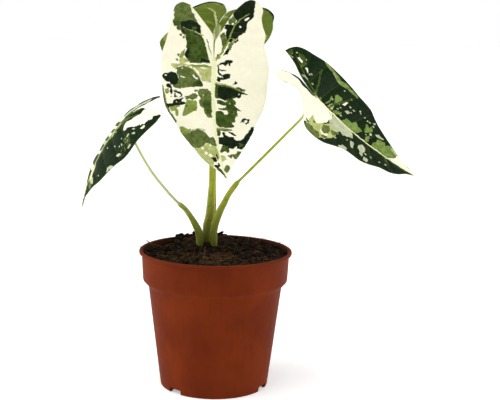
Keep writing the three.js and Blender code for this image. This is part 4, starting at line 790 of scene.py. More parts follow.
def blade_mesh(name, leaf, seed):
    """A leaf blade with raised ribs below, sunk veins and swelling fields above, and a thin margin."""
    grids = [blade_grid(leaf, half) for half in (0, 1)]
    rows, columns = grids[0].shape[:2]
    count = rows * columns
    index = [np.arange(count).reshape(rows, columns) + half * count for half in (0, 1)]
    index[1][: BLADE_ROWS + 1, 0] = index[0][: BLADE_ROWS + 1, 0]
    for half in (0, 1):
        index[half][0, :] = index[0][0, 0]
        index[half][-1, :] = index[half][-1, 0]
    points, flat, edge = [], [], []
    for half in (0, 1):
        s, t = grids[half][..., 0].ravel(), grids[half][..., 1].ravel()
        points.append(blade_points(leaf, s, t, half))
        flat.append(np.stack([s, t * SIGNS[half]], axis=-1))
        edge.append(margin_distance(grids[half]))
    points, flat, edge = np.vstack(points), np.vstack(flat), np.concatenate(edge)
    faces = []
    for half in (0, 1):
        i = index[half]
        quads = np.stack([i[:-1, :-1], i[1:, :-1], i[1:, 1:], i[:-1, 1:]], axis=-1).reshape(-1, 4)
        if half == 1:
            quads = quads[:, ::-1]
        faces += [list(dict.fromkeys(q)) for q in quads.tolist()]
    faces = [f for f in faces if len(f) > 2]
    used = np.unique(np.concatenate([np.array(f) for f in faces]))
    renumber = np.full(2 * count, -1)
    renumber[used] = np.arange(len(used))
    faces = [[int(renumber[v]) for v in f] for f in faces]
    points, flat, edge = points[used], flat[used], edge[used]

    normals = sheet_normals(points, faces)
    lines = vein_lines(leaf)
    signed, ratio, width, tone, gap = nearest_vein(flat, lines)
    fade = smoothstep(0, EDGE_FADE, edge)
    swell = SWELL_HEIGHT * (1 - np.exp(-((gap / SWELL_REACH) ** 2))) * fade - EDGE_DROP * fade
    wave_at = np.column_stack([flat, np.zeros(len(flat))])
    wave = WAVE_HEIGHT * noise_field(wave_at, WAVE_SIZE, seed) * smoothstep(*WAVE_START, np.abs(flat[:, 1]))
    rib = np.sqrt(np.clip(1 - ratio**2, 0, 1))
    main = tone > MAIN_VEIN_TONE
    depth = width * np.where(main, RIB_DEPTH["main"], RIB_DEPTH["side"])
    at_edge, inner = MARGIN_THICKNESS
    half_thickness = BLADE_THICKNESS / 2 * (at_edge + inner * smoothstep(0, MARGIN_REACH, edge))
    lift = (swell + wave) * smoothstep(0, JUNCTION_CALM, np.linalg.norm(flat, axis=1))
    top = lift + half_thickness + rib * width * np.where(main, RIB_HEIGHT["main"], RIB_HEIGHT["side"])
    bottom = lift - half_thickness - rib * depth
    upper = points + normals * top[:, None]
    lower = points + normals * bottom[:, None]

    n = len(points)
    edges = {}
    for f in faces:
        for a, b in zip(f, f[1:] + f[:1]):
            edges[(a, b)] = True
    rim = [(a, b) for a, b in edges if (b, a) not in edges]
    all_faces = faces + [[v + n for v in reversed(f)] for f in faces]
    all_faces += [[b, a, a + n, b + n] for a, b in rim]
    mesh = bpy.data.meshes.new(name)
    mesh.from_pydata((np.vstack([upper, lower]) * MM).tolist(), [], all_faces)
    fields = mark_fields(leaf, flat, seed)
    for key, values in fields.items():
        set_attribute(mesh, key, np.tile(values, 2))
    set_attribute(mesh, "vein", np.tile(np.clip(signed, -ATTRIBUTE_LIMIT, ATTRIBUTE_LIMIT), 2))
    set_attribute(mesh, "vein_near", np.tile(np.clip(ratio, 0, ATTRIBUTE_LIMIT), 2))
    set_attribute(mesh, "vein_tone", np.tile(tone, 2))
    set_attribute(mesh, "margin", np.tile(np.clip(edge, 0, ATTRIBUTE_LIMIT), 2))
    set_attribute(mesh, "under", np.concatenate([np.zeros(n), np.ones(n)]))
    place = np.column_stack([flat, np.full(n, seed * 31.0)])
    set_attribute(mesh, "flat_place", np.vstack([place, place]), "FLOAT_VECTOR")
    return mesh


def margin_distance(grid):
    """Rough distance of each grid point from the blade's free edge."""
    flat = grid.reshape(-1, 2)
    outline = np.vstack([grid[:, -1], grid[BLADE_ROWS:, 0]])
    out = np.full(len(flat), FAR_AWAY)
    for a in outline[::2]:
        out = np.minimum(out, np.linalg.norm(flat - a, axis=1))
    return out


def sheet_normals(points, faces):
    """Unit normals of an open sheet, averaged over the faces around each point."""
    total = np.zeros_like(points)
    for size in (3, 4):
        group = np.array([f for f in faces if len(f) == size])
        if len(group) == 0:
            continue
        a, b, c = points[group[:, 0]], points[group[:, 1]], points[group[:, 2]]
        face_normal = np.cross(b - a, c - a)
        if size == 4:
            face_normal += np.cross(c - a, points[group[:, 3]] - a)
        for k in range(size):
            np.add.at(total, group[:, k], face_normal)
    return total / np.maximum(np.linalg.norm(total, axis=1, keepdims=True), 1e-12)


# Pieces


def add_piece(name, mesh, material, node=None, smooth=True):
    for polygon in mesh.polygons:
        polygon.use_smooth = smooth
    piece = bpy.data.objects.new(name, mesh)
    bpy.context.scene.collection.objects.link(piece)
    mesh.materials.append(material)
    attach(piece, "root")
    if node:
        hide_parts(node)
    return piece


# Materials


class Shader:
    """A material's node tree, built one node at a time."""

    def __init__(self, name):
        self.material = bpy.data.materials.new(name)
        self.material.use_nodes = True
        self.tree = self.material.node_tree
        self.tree.nodes.clear()
        self.bsdf = self.tree.nodes.new("ShaderNodeBsdfPrincipled")
        output = self.tree.nodes.new("ShaderNodeOutputMaterial")
        self.tree.links.new(self.bsdf.outputs[0], output.inputs[0])

    def put(self, socket, value):
        if isinstance(value, bpy.types.NodeSocket):
            self.tree.links.new(value, socket)
        elif value is not None:
            socket.default_value = value

    def node(self, kind, inputs=(), **settings):
        made = self.tree.nodes.new("ShaderNode" + kind)
        for key, value in settings.items():
            setattr(made, key, value)
        for key, value in dict(inputs).items():
            self.put(made.inputs[key], value)
        return made

    def math(self, operation, a, b=None, c=None):
        made = self.node("Math", operation=operation)
        for socket, value in zip(made.inputs, (a, b, c)):
            self.put(socket, value)
        return made.outputs[0]

    def plus(self, a, b):
        return self.math("ADD", a, b)

    def times(self, a, b):
        return self.math("MULTIPLY", a, b)

    def value(self, name):
        return self.node("Attribute", attribute_name=name).outputs["Fac"]

    def vector(self, name):
        return self.node("Attribute", attribute_name=name).outputs["Vector"]

    def stretched(self, vector, scale):
        return self.node("Mapping", {"Vector": vector, "Scale": scale}).outputs[0]

    def noise(self, vector, scale, detail=2.0, roughness=0.5):
        inputs = {"Vector": vector, "Scale": scale, "Detail": detail, "Roughness": roughness}
        return self.node("TexNoise", inputs).outputs["Fac"]

    def range(self, value, low, high, to_low=0.0, to_high=1.0, smooth=True):
        inputs = {"Value": value, "From Min": low, "From Max": high, "To Min": to_low, "To Max": to_high}
        made = self.node("MapRange", inputs, interpolation_type="SMOOTHSTEP" if smooth else "LINEAR")
        return made.outputs["Result"]

    def mix(self, factor, a, b):
        made = self.node("Mix", data_type="RGBA")
        sockets = [s for s in made.inputs if s.enabled]
        for socket, value in zip(sockets, (factor, a, b)):
            self.put(socket, value)
        return next(s for s in made.outputs if s.enabled)

    def tint(self, colour, field, low, high, amount, tone):
        """The colour with up to the amount of a tone, where the field rises from low to high."""
        return self.mix(self.range(field, low, high, 0.0, amount), colour, tone)

    def finish(self, colour, roughness, height=None, distance=None, strength=None, specular=None):
        self.put(self.bsdf.inputs["Base Color"], colour)
        self.put(self.bsdf.inputs["Roughness"], roughness)
        self.put(self.bsdf.inputs["Specular IOR Level"], specular)
        if height is not None:
            bump = self.node("Bump", {"Height": height, "Distance": distance, "Strength": strength})
            self.put(self.bsdf.inputs["Normal"], bump.outputs[0])
        return self.material


def srgb(red, green, blue):
    """A colour given as on a screen, 0 to 255, as the linear numbers that a shader takes."""
    linear = [v / 255 / 12.92 if v <= 10 else ((v / 255 + 0.055) / 1.055) ** 2.4 for v in (red, green, blue)]
    return (*linear, 1.0)


# Each tone's two shades.
LEAF_TONES = {
    "cream": ((249, 246, 222), (245, 241, 213)),
    "sage": ((152, 160, 124), (206, 210, 176)),
    "straw": ((232, 234, 180), (244, 244, 204)),
    "pale": ((154, 163, 88), (196, 200, 134)),
    "lime": ((106, 124, 44), (150, 164, 84)),
    "olive": ((70, 88, 38), (112, 124, 66)),
    "green": ((42, 60, 20), (78, 98, 40)),
    "dark": ((15, 27, 14), (30, 43, 25)),
    "deep": ((10, 27, 8), (26, 44, 17)),
    "moss": ((86, 112, 42), (140, 160, 84)),
}
# How far each tone spreads over its own border, in millimetres, in the order in which they are laid on.
TONE_SPREAD = dict(sage=0.3, straw=0.1, pale=0.3, lime=0.3, olive=0.3, green=0.25, dark=0.0, cream=0.0)
VEIN_GREEN = srgb(150, 168, 72)
VEIN_CREAM = srgb(226, 230, 176)
UNDER_GREEN = srgb(126, 146, 52)
BLACK, WHITE = (0, 0, 0, 1), (1, 1, 1, 1)


def leaf_material(name, base):
    """Cream, pale green and dark patches with ragged borders, pale veins and a duller underside."""
    sh = Shader(name)
    place = sh.vector("flat_place")
    ragged = sh.noise(place, 0.9, 4.0, 0.65)
    ragged = sh.math("MULTIPLY_ADD", ragged, 2.2, -1.1)
    mottle = sh.noise(place, 0.3, 3.0, 0.6)
    grain = sh.noise(place, 1.6, 3.0, 0.7)
    blend = sh.range(sh.math("MULTIPLY_ADD", grain, 0.6, sh.times(mottle, 0.7)), 0.45, 0.85)
    shades = {tone: sh.mix(blend, srgb(*a), srgb(*b)) for tone, (a, b) in LEAF_TONES.items()}
    if base == "dark":
        shades["dark"], shades["lime"] = shades["deep"], shades["moss"]
    colour = shades[base]
    lightness = WHITE if base == "cream" else BLACK
    for tone, bias in TONE_SPREAD.items():
        field = sh.plus(sh.value(tone), sh.math("MULTIPLY_ADD", ragged, 0.55, bias))
        mask = sh.range(field, -0.2, 0.2)
        colour = sh.mix(mask, colour, shades[tone])
        lightness = sh.mix(mask, lightness, WHITE if tone in ("cream", "straw") else BLACK)
    flecks = sh.noise(place, 0.75, 2.0, 0.6)
    inside = sh.range(sh.value("speckle"), 0.0, 2.0)
    colour = sh.mix(sh.times(inside, sh.range(flecks, 0.55, 0.58)), colour, shades["olive"])
    colour = sh.mix(sh.times(inside, sh.range(flecks, 0.66, 0.68)), colour, shades["sage"])
    line = sh.range(sh.math("ABSOLUTE", sh.value("vein")), 0.65, 1.05, 1.0, 0.0)
    near = sh.range(sh.value("vein_near"), 1.2, 2.0, 1.0, 0.0)
    line = sh.times(sh.times(line, near), sh.times(sh.value("vein_tone"), 0.3))
    colour = sh.mix(line, colour, sh.mix(lightness, VEIN_GREEN, VEIN_CREAM))
    hem = sh.range(sh.value("margin"), 0.25, 0.7, 0.25, 0.0)
    colour = sh.mix(hem, colour, VEIN_GREEN)
    under = sh.value("under")
    dull = sh.mix(0.5, colour, UNDER_GREEN)
    dull = sh.mix(lightness, dull, sh.mix(0.25, colour, UNDER_GREEN))
    colour = sh.mix(under, colour, dull)
    colour = sh.mix(sh.range(sh.value("rim"), -0.2, 0.2), colour, shades["dark"])
    matt = sh.plus(sh.times(grain, 0.3), under)
    roughness = sh.range(matt, 0.0, 1.3, 0.36, 0.62, smooth=False)
    cells = sh.node("TexVoronoi", {"Vector": place, "Scale": 0.55}, feature="DISTANCE_TO_EDGE")
    net = sh.range(cells.outputs["Distance"], 0.0, 0.22)
    height = sh.plus(net, sh.times(grain, 0.6))
    return sh.finish(colour, roughness, height, 0.00012, 0.6, specular=0.025)


def stalk_material():
    """Yellow-green skin with lengthwise streaks, brown marks low down and pale slender parts."""
    sh = Shader("stalk_skin")
    place = sh.vector("skin_place")
    lengthwise = sh.stretched(place, (0.05, 1.0, 1.0))
    streak = sh.noise(lengthwise, 0.9, 3.0, 0.6)
    fine = sh.noise(sh.stretched(place, (0.12, 3.2, 3.2)), 1.0, 2.0, 0.6)
    cloud = sh.noise(place, 0.05, 2.0, 0.5)
    colour = sh.mix(sh.range(streak, 0.3, 0.7), srgb(158, 166, 46), srgb(186, 194, 74))
    colour = sh.tint(colour, fine, 0.55, 0.75, 0.5, srgb(196, 200, 100))
    colour = sh.tint(colour, cloud, 0.4, 0.7, 0.35, srgb(136, 144, 44))
    colour = sh.mix(sh.value("pale_skin"), colour, srgb(218, 222, 162))
    colour = sh.mix(sh.range(sh.value("along"), 4.0, 62.0, 0.85, 0.0), colour, srgb(74, 78, 24))
    marks = sh.noise(sh.stretched(place, (0.3, 0.9, 0.9)), 0.8, 4.0, 0.75)
    low = sh.range(sh.value("along"), 30.0, 110.0, 1.0, 0.3)
    colour = sh.mix(sh.times(sh.range(marks, 0.55, 0.66, 0.0, 0.65), low), colour, srgb(78, 66, 22))
    height = sh.plus(fine, sh.times(streak, 0.5))
    return sh.finish(colour, sh.range(fine, 0.2, 0.8, 0.38, 0.52), height, 0.00015, 0.8, specular=0.12)


def pot_material():
    """Moulded brown-orange plastic with a satin skin, faint flow lines, a little dust, and mix stains with
    painted shade on the lip and the inside of the rim.
    """
    sh = Shader("pot_plastic")
    place = sh.node("TexCoord").outputs["Object"]
    cloud = sh.noise(place, 26.0, 4.0, 0.6)
    flow = sh.noise(sh.stretched(place, (1.0, 1.0, 0.12)), 260.0, 3.0, 0.6)
    grain = sh.noise(place, 1500.0, 2.0, 0.6)
    colour = sh.mix(sh.range(cloud, 0.3, 0.7), srgb(96, 35, 13), srgb(112, 44, 16))
    colour = sh.tint(colour, flow, 0.5, 0.8, 0.35, srgb(84, 28, 12))
    dust = sh.noise(place, 420.0, 3.0, 0.7)
    colour = sh.tint(colour, dust, 0.66, 0.8, 0.3, srgb(134, 70, 44))
    # Mix stains and painted shade darken the lip and the collar's inner face.
    stain_and_shade_mask = sh.range(sh.math("MULTIPLY_ADD", dust, 0.8, sh.value("stain_and_shade")), 0.75, 1.05)
    colour = sh.mix(sh.times(stain_and_shade_mask, 0.8), colour, srgb(52, 36, 24))
    roughness = sh.range(sh.plus(cloud, sh.times(flow, 0.4)), 0.4, 1.0, 0.5, 0.65)
    height = sh.plus(grain, sh.times(flow, 0.5))
    return sh.finish(colour, roughness, height, 0.00006, 0.5, specular=0.025)


def mix_material(name, dark, brown, ochre):
    """Peat, bark or coir: a brown with darker patches and lighter grains."""
    sh = Shader(name)
    place = sh.node("TexCoord").outputs["Object"]
    coarse = sh.noise(place, 160.0, 4.0, 0.7)
    fine = sh.noise(place, 700.0, 3.0, 0.7)
    colour = sh.mix(sh.range(coarse, 0.35, 0.7), dark, brown)
    colour = sh.tint(colour, fine, 0.58, 0.72, 0.7, ochre)
    patch = sh.range(sh.noise(place, 42.0, 3.0, 0.6), 0.36, 0.62)
    colour = sh.mix(patch, sh.mix(0.62, colour, dark), colour)
    height = sh.plus(fine, coarse)
    return sh.finish(colour, sh.range(fine, 0.3, 0.7, 0.82, 1.0), height, 0.0006, 1.0, specular=0.06)


def corm_material():
    """Dry brown skin with leaf rings and fibres."""
    sh = Shader("corm_skin")
    place = sh.node("TexCoord").outputs["Object"]
    rings = sh.noise(sh.stretched(place, (0.2, 0.2, 1.0)), 420.0, 3.0, 0.6)
    fibre = sh.noise(sh.stretched(place, (1.0, 1.0, 0.1)), 900.0, 2.0, 0.6)
    colour = sh.mix(sh.range(rings, 0.35, 0.65), srgb(78, 56, 36), srgb(134, 104, 68))
    colour = sh.tint(colour, fibre, 0.5, 0.75, 0.6, srgb(58, 42, 28))
    return sh.finish(colour, sh.range(fibre, 0.3, 0.7, 0.7, 0.92), sh.plus(rings, fibre), 0.0004, 0.8)


# Stalks, in millimetres. Depths of grooves are parts of the radius.

STALK_SIDES = 28
STALK_STEP = 1.2
NEAR_JUNCTION = 1e-6
END_FLARE = 1.35
SETTLE_LENGTH = 5
GROOVES = dict(count=7, depth=0.035, twist=0.02)
MAIN_GROOVE = dict(depth=0.05, angle=1.4, sharpness=6)
SKIN_SHIFT = 20
PALE_RADII = (2.2, 1.1)
PALE_END = (32, 8)


def groove_factor(angle, distance):
    """The radius at an angle round the stalk, as a part of the smooth one."""
    small = GROOVES["depth"] * math.cos(GROOVES["count"] * angle + GROOVES["twist"] * distance)
    facing = max(0, math.cos(angle - MAIN_GROOVE["angle"]))
    return 1 - small - MAIN_GROOVE["depth"] * facing ** MAIN_GROOVE["sharpness"]


def stalk_mesh(name, leaf, stations, paleness):
    """A fleshy stalk with shallow grooves. Its top turns to lie against the underside of its blade."""
    origin, _, up = (v[0] for v in midrib_frame(leaf, np.array([NEAR_JUNCTION])))
    top = origin - up * (BLADE_THICKNESS / 2)
    last = stations[-1][3]
    curve = smooth_curve([*stations, (*top, last * END_FLARE)], per_span=16)
    steps = step_lengths(curve[:, :3])
    count = int(steps.sum() / STALK_STEP)
    path = along(curve, np.linspace(0, 1, count + 1), 3)
    centres, radii = path[:, :3], path[:, 3]
    tangents = np.gradient(centres, axis=0)
    tangents /= np.linalg.norm(tangents, axis=1, keepdims=True)
    distance = np.linspace(0, steps.sum(), count + 1)
    rings, skin, runs = [], [], []
    across = np.array([1.0, 0.0, 0.0])
    facing = up if tangents[-1] @ up > 0 else -up
    for n, (centre, radius) in enumerate(zip(centres, radii)):
        settle = float(smoothstep(distance[-1] - SETTLE_LENGTH, distance[-1], distance[n]))
        axis = tangents[n] * (1 - settle) + facing * settle
        axis /= np.linalg.norm(axis)
        across = across - axis * (across @ axis)
        across /= np.linalg.norm(across)
        other = np.cross(axis, across)
        for k in range(STALK_SIDES):
            angle = 2 * math.pi * k / STALK_SIDES
            r = radius * groove_factor(angle, distance[n])
            rings.append(centre + (across * math.cos(angle) + other * math.sin(angle)) * r)
            skin.append((distance[n], radius * math.cos(angle) + SKIN_SHIFT, radius * math.sin(angle)))
            runs.append(distance[n])
    faces = []
    for n in range(count):
        for k in range(STALK_SIDES):
            a, b = n * STALK_SIDES + k, n * STALK_SIDES + (k + 1) % STALK_SIDES
            faces.append([a, b, b + STALK_SIDES, a + STALK_SIDES])
    faces.append(list(range(STALK_SIDES))[::-1])
    faces.append([count * STALK_SIDES + k for k in range(STALK_SIDES)])
    mesh = bpy.data.meshes.new(name)
    mesh.from_pydata((np.array(rings) * MM).tolist(), [], faces)
    set_attribute(mesh, "skin_place", skin, "FLOAT_VECTOR")
    set_attribute(mesh, "along", runs)
    slender = smoothstep(*PALE_RADII, np.repeat(radii, STALK_SIDES))
    pale_end = smoothstep(*PALE_END, distance[-1] - np.array(runs))
    set_attribute(mesh, "pale_skin", np.maximum(slender * paleness, pale_end))
    return mesh


# Pot. The profile is radius and height from the underside out, up over the lip and down inside.

POT_SEGMENTS = 144
POT_PROFILE = [
    (0, 1.2), (39.5, 1.2), (39.8, 0.4), (40.4, 0), (41.9, 0), (42.5, 0.5), (42.7, 1.4), (47.3, 38),
    (52.4, 79.6), (52.8, 80.7), (53.8, 81.9), (55.8, 84), (56.6, 84.9), (56.9, 86), (57.9, 105),
    (58.2, 105.7), (59.3, 105.9), (59.9, 106.3), (60, 107), (59.9, 107.9), (59.4, 108.3), (58.4, 108.4),
    (57.5, 108.3), (57, 107.8), (56.9, 106.9), (55.8, 86), (55.4, 85.2), (51.8, 81.4), (51.4, 80.4),
    (46.2, 38), (41.6, 2.4), (0, 2.4),
]
CHANNEL_ANGLES = (-45, 63, 189)
CHANNEL = dict(width=12, start=25, end=46, bottom=-1, top=4)
CEILING = 1.2
HUMP = dict(
    width=CHANNEL["width"] + 2 * CEILING, start=CHANNEL["start"] - CEILING, end=41.4, bottom=1.3,
    top=CHANNEL["top"] + CEILING,
)
SLOT = dict(width=6, start=33, end=40, bottom=1, top=8)
SHARP_ANGLE = 32

# Where the plastic is darkened, partly by stains of mix and partly by painted shade on the inside of the rim:
# on the lip above a height, by radius, and on the collar's inner face, inside a cone that runs between its
# two faces.
LIP_STAIN_AND_SHADE_HEIGHT = 107.5
LIP_STAINS_AND_SHADE = ((57.3, 1.0), (58, 0.3))
COLLAR_STAIN_AND_SHADE_HEIGHT = 84.5
COLLAR_CONE = dict(radius=56.35, height=86, slope=0.0526)


def lathe(profile, segments):
    """A closed body turned about Z from (radius, z) points that start and end on the axis."""
    verts, faces = [], []
    ring = {}
    for n, (radius, z) in enumerate(profile):
        ring[n] = len(verts)
        if radius == 0:
            verts.append((0, 0, z * MM))
            continue
        for k in range(segments):
            a = 2 * math.pi * k / segments
            verts.append((radius * math.sin(a) * MM, -radius * math.cos(a) * MM, z * MM))
    for n in range(len(profile) - 1):
        for k in range(segments):
            j = (k + 1) % segments
            lower = [ring[n]] if profile[n][0] == 0 else [ring[n] + k, ring[n] + j]
            upper = [ring[n + 1]] if profile[n + 1][0] == 0 else [ring[n + 1] + j, ring[n + 1] + k]
            faces.append(lower + upper)
    return verts, faces


def radial_box(angle, width, start, end, bottom, top):
    """Corners and faces of a box that lies along a radius of the pot."""
    turn = Matrix.Rotation(math.radians(angle - 90), 4, "Z")
    corners = [(x, y, z) for x in (start, end) for y in (-width / 2, width / 2) for z in (bottom, top)]
    verts = [turn @ (Vector(c) * MM) for c in corners]
    return verts, [(0, 1, 3, 2), (4, 6, 7, 5), (0, 4, 5, 1), (2, 3, 7, 6), (0, 2, 6, 4), (1, 5, 7, 3)]


def new_object(name, verts, faces):
    """A plain object in metres, linked to the scene."""
    mesh = bpy.data.meshes.new(name)
    mesh.from_pydata([tuple(v) for v in verts], [], faces)
    made = bpy.data.objects.new(name, mesh)
    bpy.context.scene.collection.objects.link(made)
    return made


def combine(body, tools, operation):
    """Joins the tools to the body or cuts them from it, and takes the tools away."""
    for tool in tools:
        modifier = body.modifiers.new("boolean", "BOOLEAN")
        modifier.operation = operation
        modifier.solver = "EXACT"
        modifier.object = tool
        graph = bpy.context.evaluated_depsgraph_get()
        mesh = bpy.data.meshes.new_from_object(body.evaluated_get(graph))
        body.modifiers.clear()
        body.data = mesh
        bpy.data.objects.remove(tool)


def stain_and_shade_at(radius, z):
    """How much mix stains and painted shade darken the plastic at a radius and height, from 0 to 1."""
    if z > LIP_STAIN_AND_SHADE_HEIGHT:
        return next((amount for reach, amount in LIP_STAINS_AND_SHADE if radius < reach), 0.0)
    cone = COLLAR_CONE["radius"] + COLLAR_CONE["slope"] * (z - COLLAR_CONE["height"])
    return 1.0 if z > COLLAR_STAIN_AND_SHADE_HEIGHT and radius < cone else 0.0


def pot_mesh():
    """The turned pot, with drain channels across its foot under humps of the base, and a slot in each."""
    body = new_object("pot_blank", *lathe(POT_PROFILE, POT_SEGMENTS))
    humps, cuts = [], []
    for angle in CHANNEL_ANGLES:
        humps.append(new_object("hump", *radial_box(angle, **HUMP)))
        cuts.append(new_object("channel", *radial_box(angle, **CHANNEL)))
        cuts.append(new_object("slot", *radial_box(angle, **SLOT)))
    combine(body, humps, "UNION")
    combine(body, cuts, "DIFFERENCE")
    mesh = body.data
    bpy.data.objects.remove(body)
    set_attribute(mesh, "stain_and_shade", [stain_and_shade_at(v.co.xy.length / MM, v.co.z / MM) for v in mesh.vertices])
    return mesh


# Potting mix. A heap has its place, its reach along X and Y and its rise. A clod has its place and size.
# A kind of roughness has the size of its features, their height and its own layer of the noise.

MIX_LEVEL = 105
MIX_EDGE_RADIUS = 56.2
MIX_LOWER_RINGS = [(55.2, 86), (51, 81), (41.2, 3)]
MIX_BOTTOM = 3
CLOD_ROUGHNESS = (9, 1.5, 0)
LUMP_ROUGHNESS = (4.2, 1.8, 40)
GRAIN_ROUGHNESS = (1.6, 0.55, 90)
ROUGHNESS_DROP = 0.4
MIX_HEAPS = (
    (-8, 42, 28, 18, 7), (-6, 12, 18, 13, 6), (-42, 32, 18, 16, -3), (20, -12, 30, 20, 1.5),
)
MIX_RINGS = 84
MIX_SEGMENTS = 260
CRUMBS = 520
CLODS = (
    (-29, 44, 3.4), (-23, 45, 2.4), (-16, 46, 2.8), (-36, 38, 2.6), (12, 46, 1.4), (16, 45, 1.7),
    (30, 38, 2.4), (-48, 16, 2.8), (-52, 4, 2.4), (-46, -4, 2.2), (-38, 10, 2.6), (-30, 24, 3),
    (-50, -14, 2.4), (-42, -26, 2.2), (-28, -14, 2.4), (-16, -30, 2), (8, -34, 2.2), (24, -22, 2),
    (36, 4, 2.4), (44, -16, 2.2), (20, 26, 2.4), (30, 14, 2), (6, -18, 1.8), (-8, -44, 1.8), (22, -44, 1.8),
)


def mix_height(x, y):
    """The mix's surface with its heaps only."""
    z = MIX_LEVEL
    for heap_x, heap_y, wide, deep, rise in MIX_HEAPS:
        z += rise * math.exp(-(((x - heap_x) / wide) ** 2) - ((y - heap_y) / deep) ** 2)
    return z


def roughness_at(x, y, size, height, layer):
    return noise.noise(Vector((x, y, layer)) / size) * height


def rough_height(x, y):
    """The mix's surface with clods, lumps and grains on it."""
    clod = roughness_at(x, y, *CLOD_ROUGHNESS)
    lump = abs(roughness_at(x, y, *LUMP_ROUGHNESS))
    grain = roughness_at(x, y, *GRAIN_ROUGHNESS)
    return mix_height(x, y) + clod + lump + grain - ROUGHNESS_DROP


def mix_mesh():
    """The body of the mix: a rough top, and below it the inside of the pot."""
    verts, faces = [(0, 0, rough_height(0, 0))], []
    rings = [(MIX_EDGE_RADIUS * (n + 1) / MIX_RINGS, None) for n in range(MIX_RINGS)]
    rings += MIX_LOWER_RINGS
    for radius, z in rings:
        for k in range(MIX_SEGMENTS):
            a = 2 * math.pi * k / MIX_SEGMENTS
            x, y = radius * math.sin(a), -radius * math.cos(a)
            verts.append((x, y, rough_height(x, y) if z is None else z))
    verts.append((0, 0, MIX_BOTTOM))
    last = 1 + (len(rings) - 1) * MIX_SEGMENTS
    for k in range(MIX_SEGMENTS):
        j = (k + 1) % MIX_SEGMENTS
        faces.append((0, 1 + k, 1 + j))
        faces.append((len(verts) - 1, last + j, last + k))
        for n in range(len(rings) - 1):
            a = 1 + n * MIX_SEGMENTS
            faces.append((a + k, a + MIX_SEGMENTS + k, a + MIX_SEGMENTS + j, a + j))
    mesh = bpy.data.meshes.new("potting_mix_surface")
    mesh.from_pydata([(x * MM, y * MM, z * MM) for x, y, z in verts], [], faces)
    return mesh


def random_spot(reach):
    """A random place on a disc, as likely in one part of it as in another."""
    angle, radius = rng.uniform(0, 2 * math.pi), reach * math.sqrt(rng.random())
    return radius * math.sin(angle), -radius * math.cos(angle)


def finished_mesh(bm, name):
    """A mesh in metres from a bmesh in millimetres."""
    bmesh.ops.scale(bm, vec=(MM, MM, MM), verts=bm.verts)
    mesh = bpy.data.meshes.new(name)
    bm.to_mesh(mesh)
    bm.free()
    return mesh


# Crumbs and clods are uneven balls. Length, height and lift are parts of the size, and the unevenness is
# the depth of the noise and its rate over the ball.
CRUMB_MARGIN = 1.5
CRUMB_SIZE = (0.6, 1.3)
LARGE_CRUMB = 1.3
CRUMB_LENGTH = (0.8, 1.6)
CRUMB_HEIGHT = (0.5, 0.9)
CRUMB_LIFT = 0.2
CRUMB_UNEVEN = (0.45, 1.3)
CLOD_LENGTH = 1.3
CLOD_HEIGHT = 0.8
CLOD_LIFT = 0.15
CLOD_UNEVEN = ((0.4, 1.4), (0.2, 4))
FULL_TURN = 6.28
SEED_REACH = 99


def crumb_mesh():
    """Broken peat and bark: small lumps of uneven shape, sunk a little into the surface."""
    bm = bmesh.new()
    for _ in range(CRUMBS):
        x, y = random_spot(MIX_EDGE_RADIUS - CRUMB_MARGIN)
        size = rng.uniform(*CRUMB_SIZE) * (1 + LARGE_CRUMB * rng.random() ** 4)
        angle = rng.uniform(0, FULL_TURN)
        axis = Vector((rng.random(), rng.random(), rng.random())).normalized()
        turn = Matrix.Rotation(angle, 4, axis)
        length, height = size * rng.uniform(*CRUMB_LENGTH), size * rng.uniform(*CRUMB_HEIGHT)
        scale = Matrix.Diagonal((length, size, height, 1))
        place = Matrix.Translation((x, y, rough_height(x, y) + size * CRUMB_LIFT))
        made = bmesh.ops.create_icosphere(bm, subdivisions=1, radius=1.0)
        seed = Vector((rng.uniform(0, SEED_REACH), 0, 0))
        depth, rate = CRUMB_UNEVEN
        for vert in made["verts"]:
            vert.co *= 1 + depth * noise.noise(vert.co * rate + seed)
            vert.co = place @ turn @ scale @ vert.co
    for x, y, size in CLODS:
        seed = Vector((x, y, 0))
        made = bmesh.ops.create_icosphere(bm, subdivisions=3, radius=1.0)
        place = Vector((x, y, rough_height(x, y) + size * CLOD_LIFT))
        for vert in made["verts"]:
            shape = 1
            for depth, rate in CLOD_UNEVEN:
                shape += depth * noise.noise(vert.co * rate + seed)
            stretched = Vector((vert.co.x * CLOD_LENGTH, vert.co.y, vert.co.z * CLOD_HEIGHT))
            vert.co = place + stretched * shape * size
    return finished_mesh(bm, "mix_crumbs")


# A tube's radius at its ends, and what is added towards its middle, as parts of the whole.
TAPER = (0.45, 0.55)


def tube(bm, points, radius, sides=5):
    """A thin tube along the points, tapered to both ends."""
    rings = []
    count = len(points)
    for n, point in enumerate(points):
        ahead = points[min(n + 1, count - 1)] - points[max(n - 1, 0)]
        axis = ahead.normalized()
        across = axis.orthogonal().normalized()
        other = axis.cross(across)
        thick = radius * (TAPER[0] + TAPER[1] * math.sin(math.pi * (n + 0.5) / count))
        rings.append([
            bm.verts.new(point + (across * math.cos(a) + other * math.sin(a)) * thick)
            for a in (2 * math.pi * k / sides for k in range(sides))
        ])
    for low, high in zip(rings, rings[1:]):
        for k in range(sides):
            bm.faces.new((low[k], low[(k + 1) % sides], high[(k + 1) % sides], high[k]))
    bm.faces.new(rings[0][::-1])
    bm.faces.new(rings[-1])


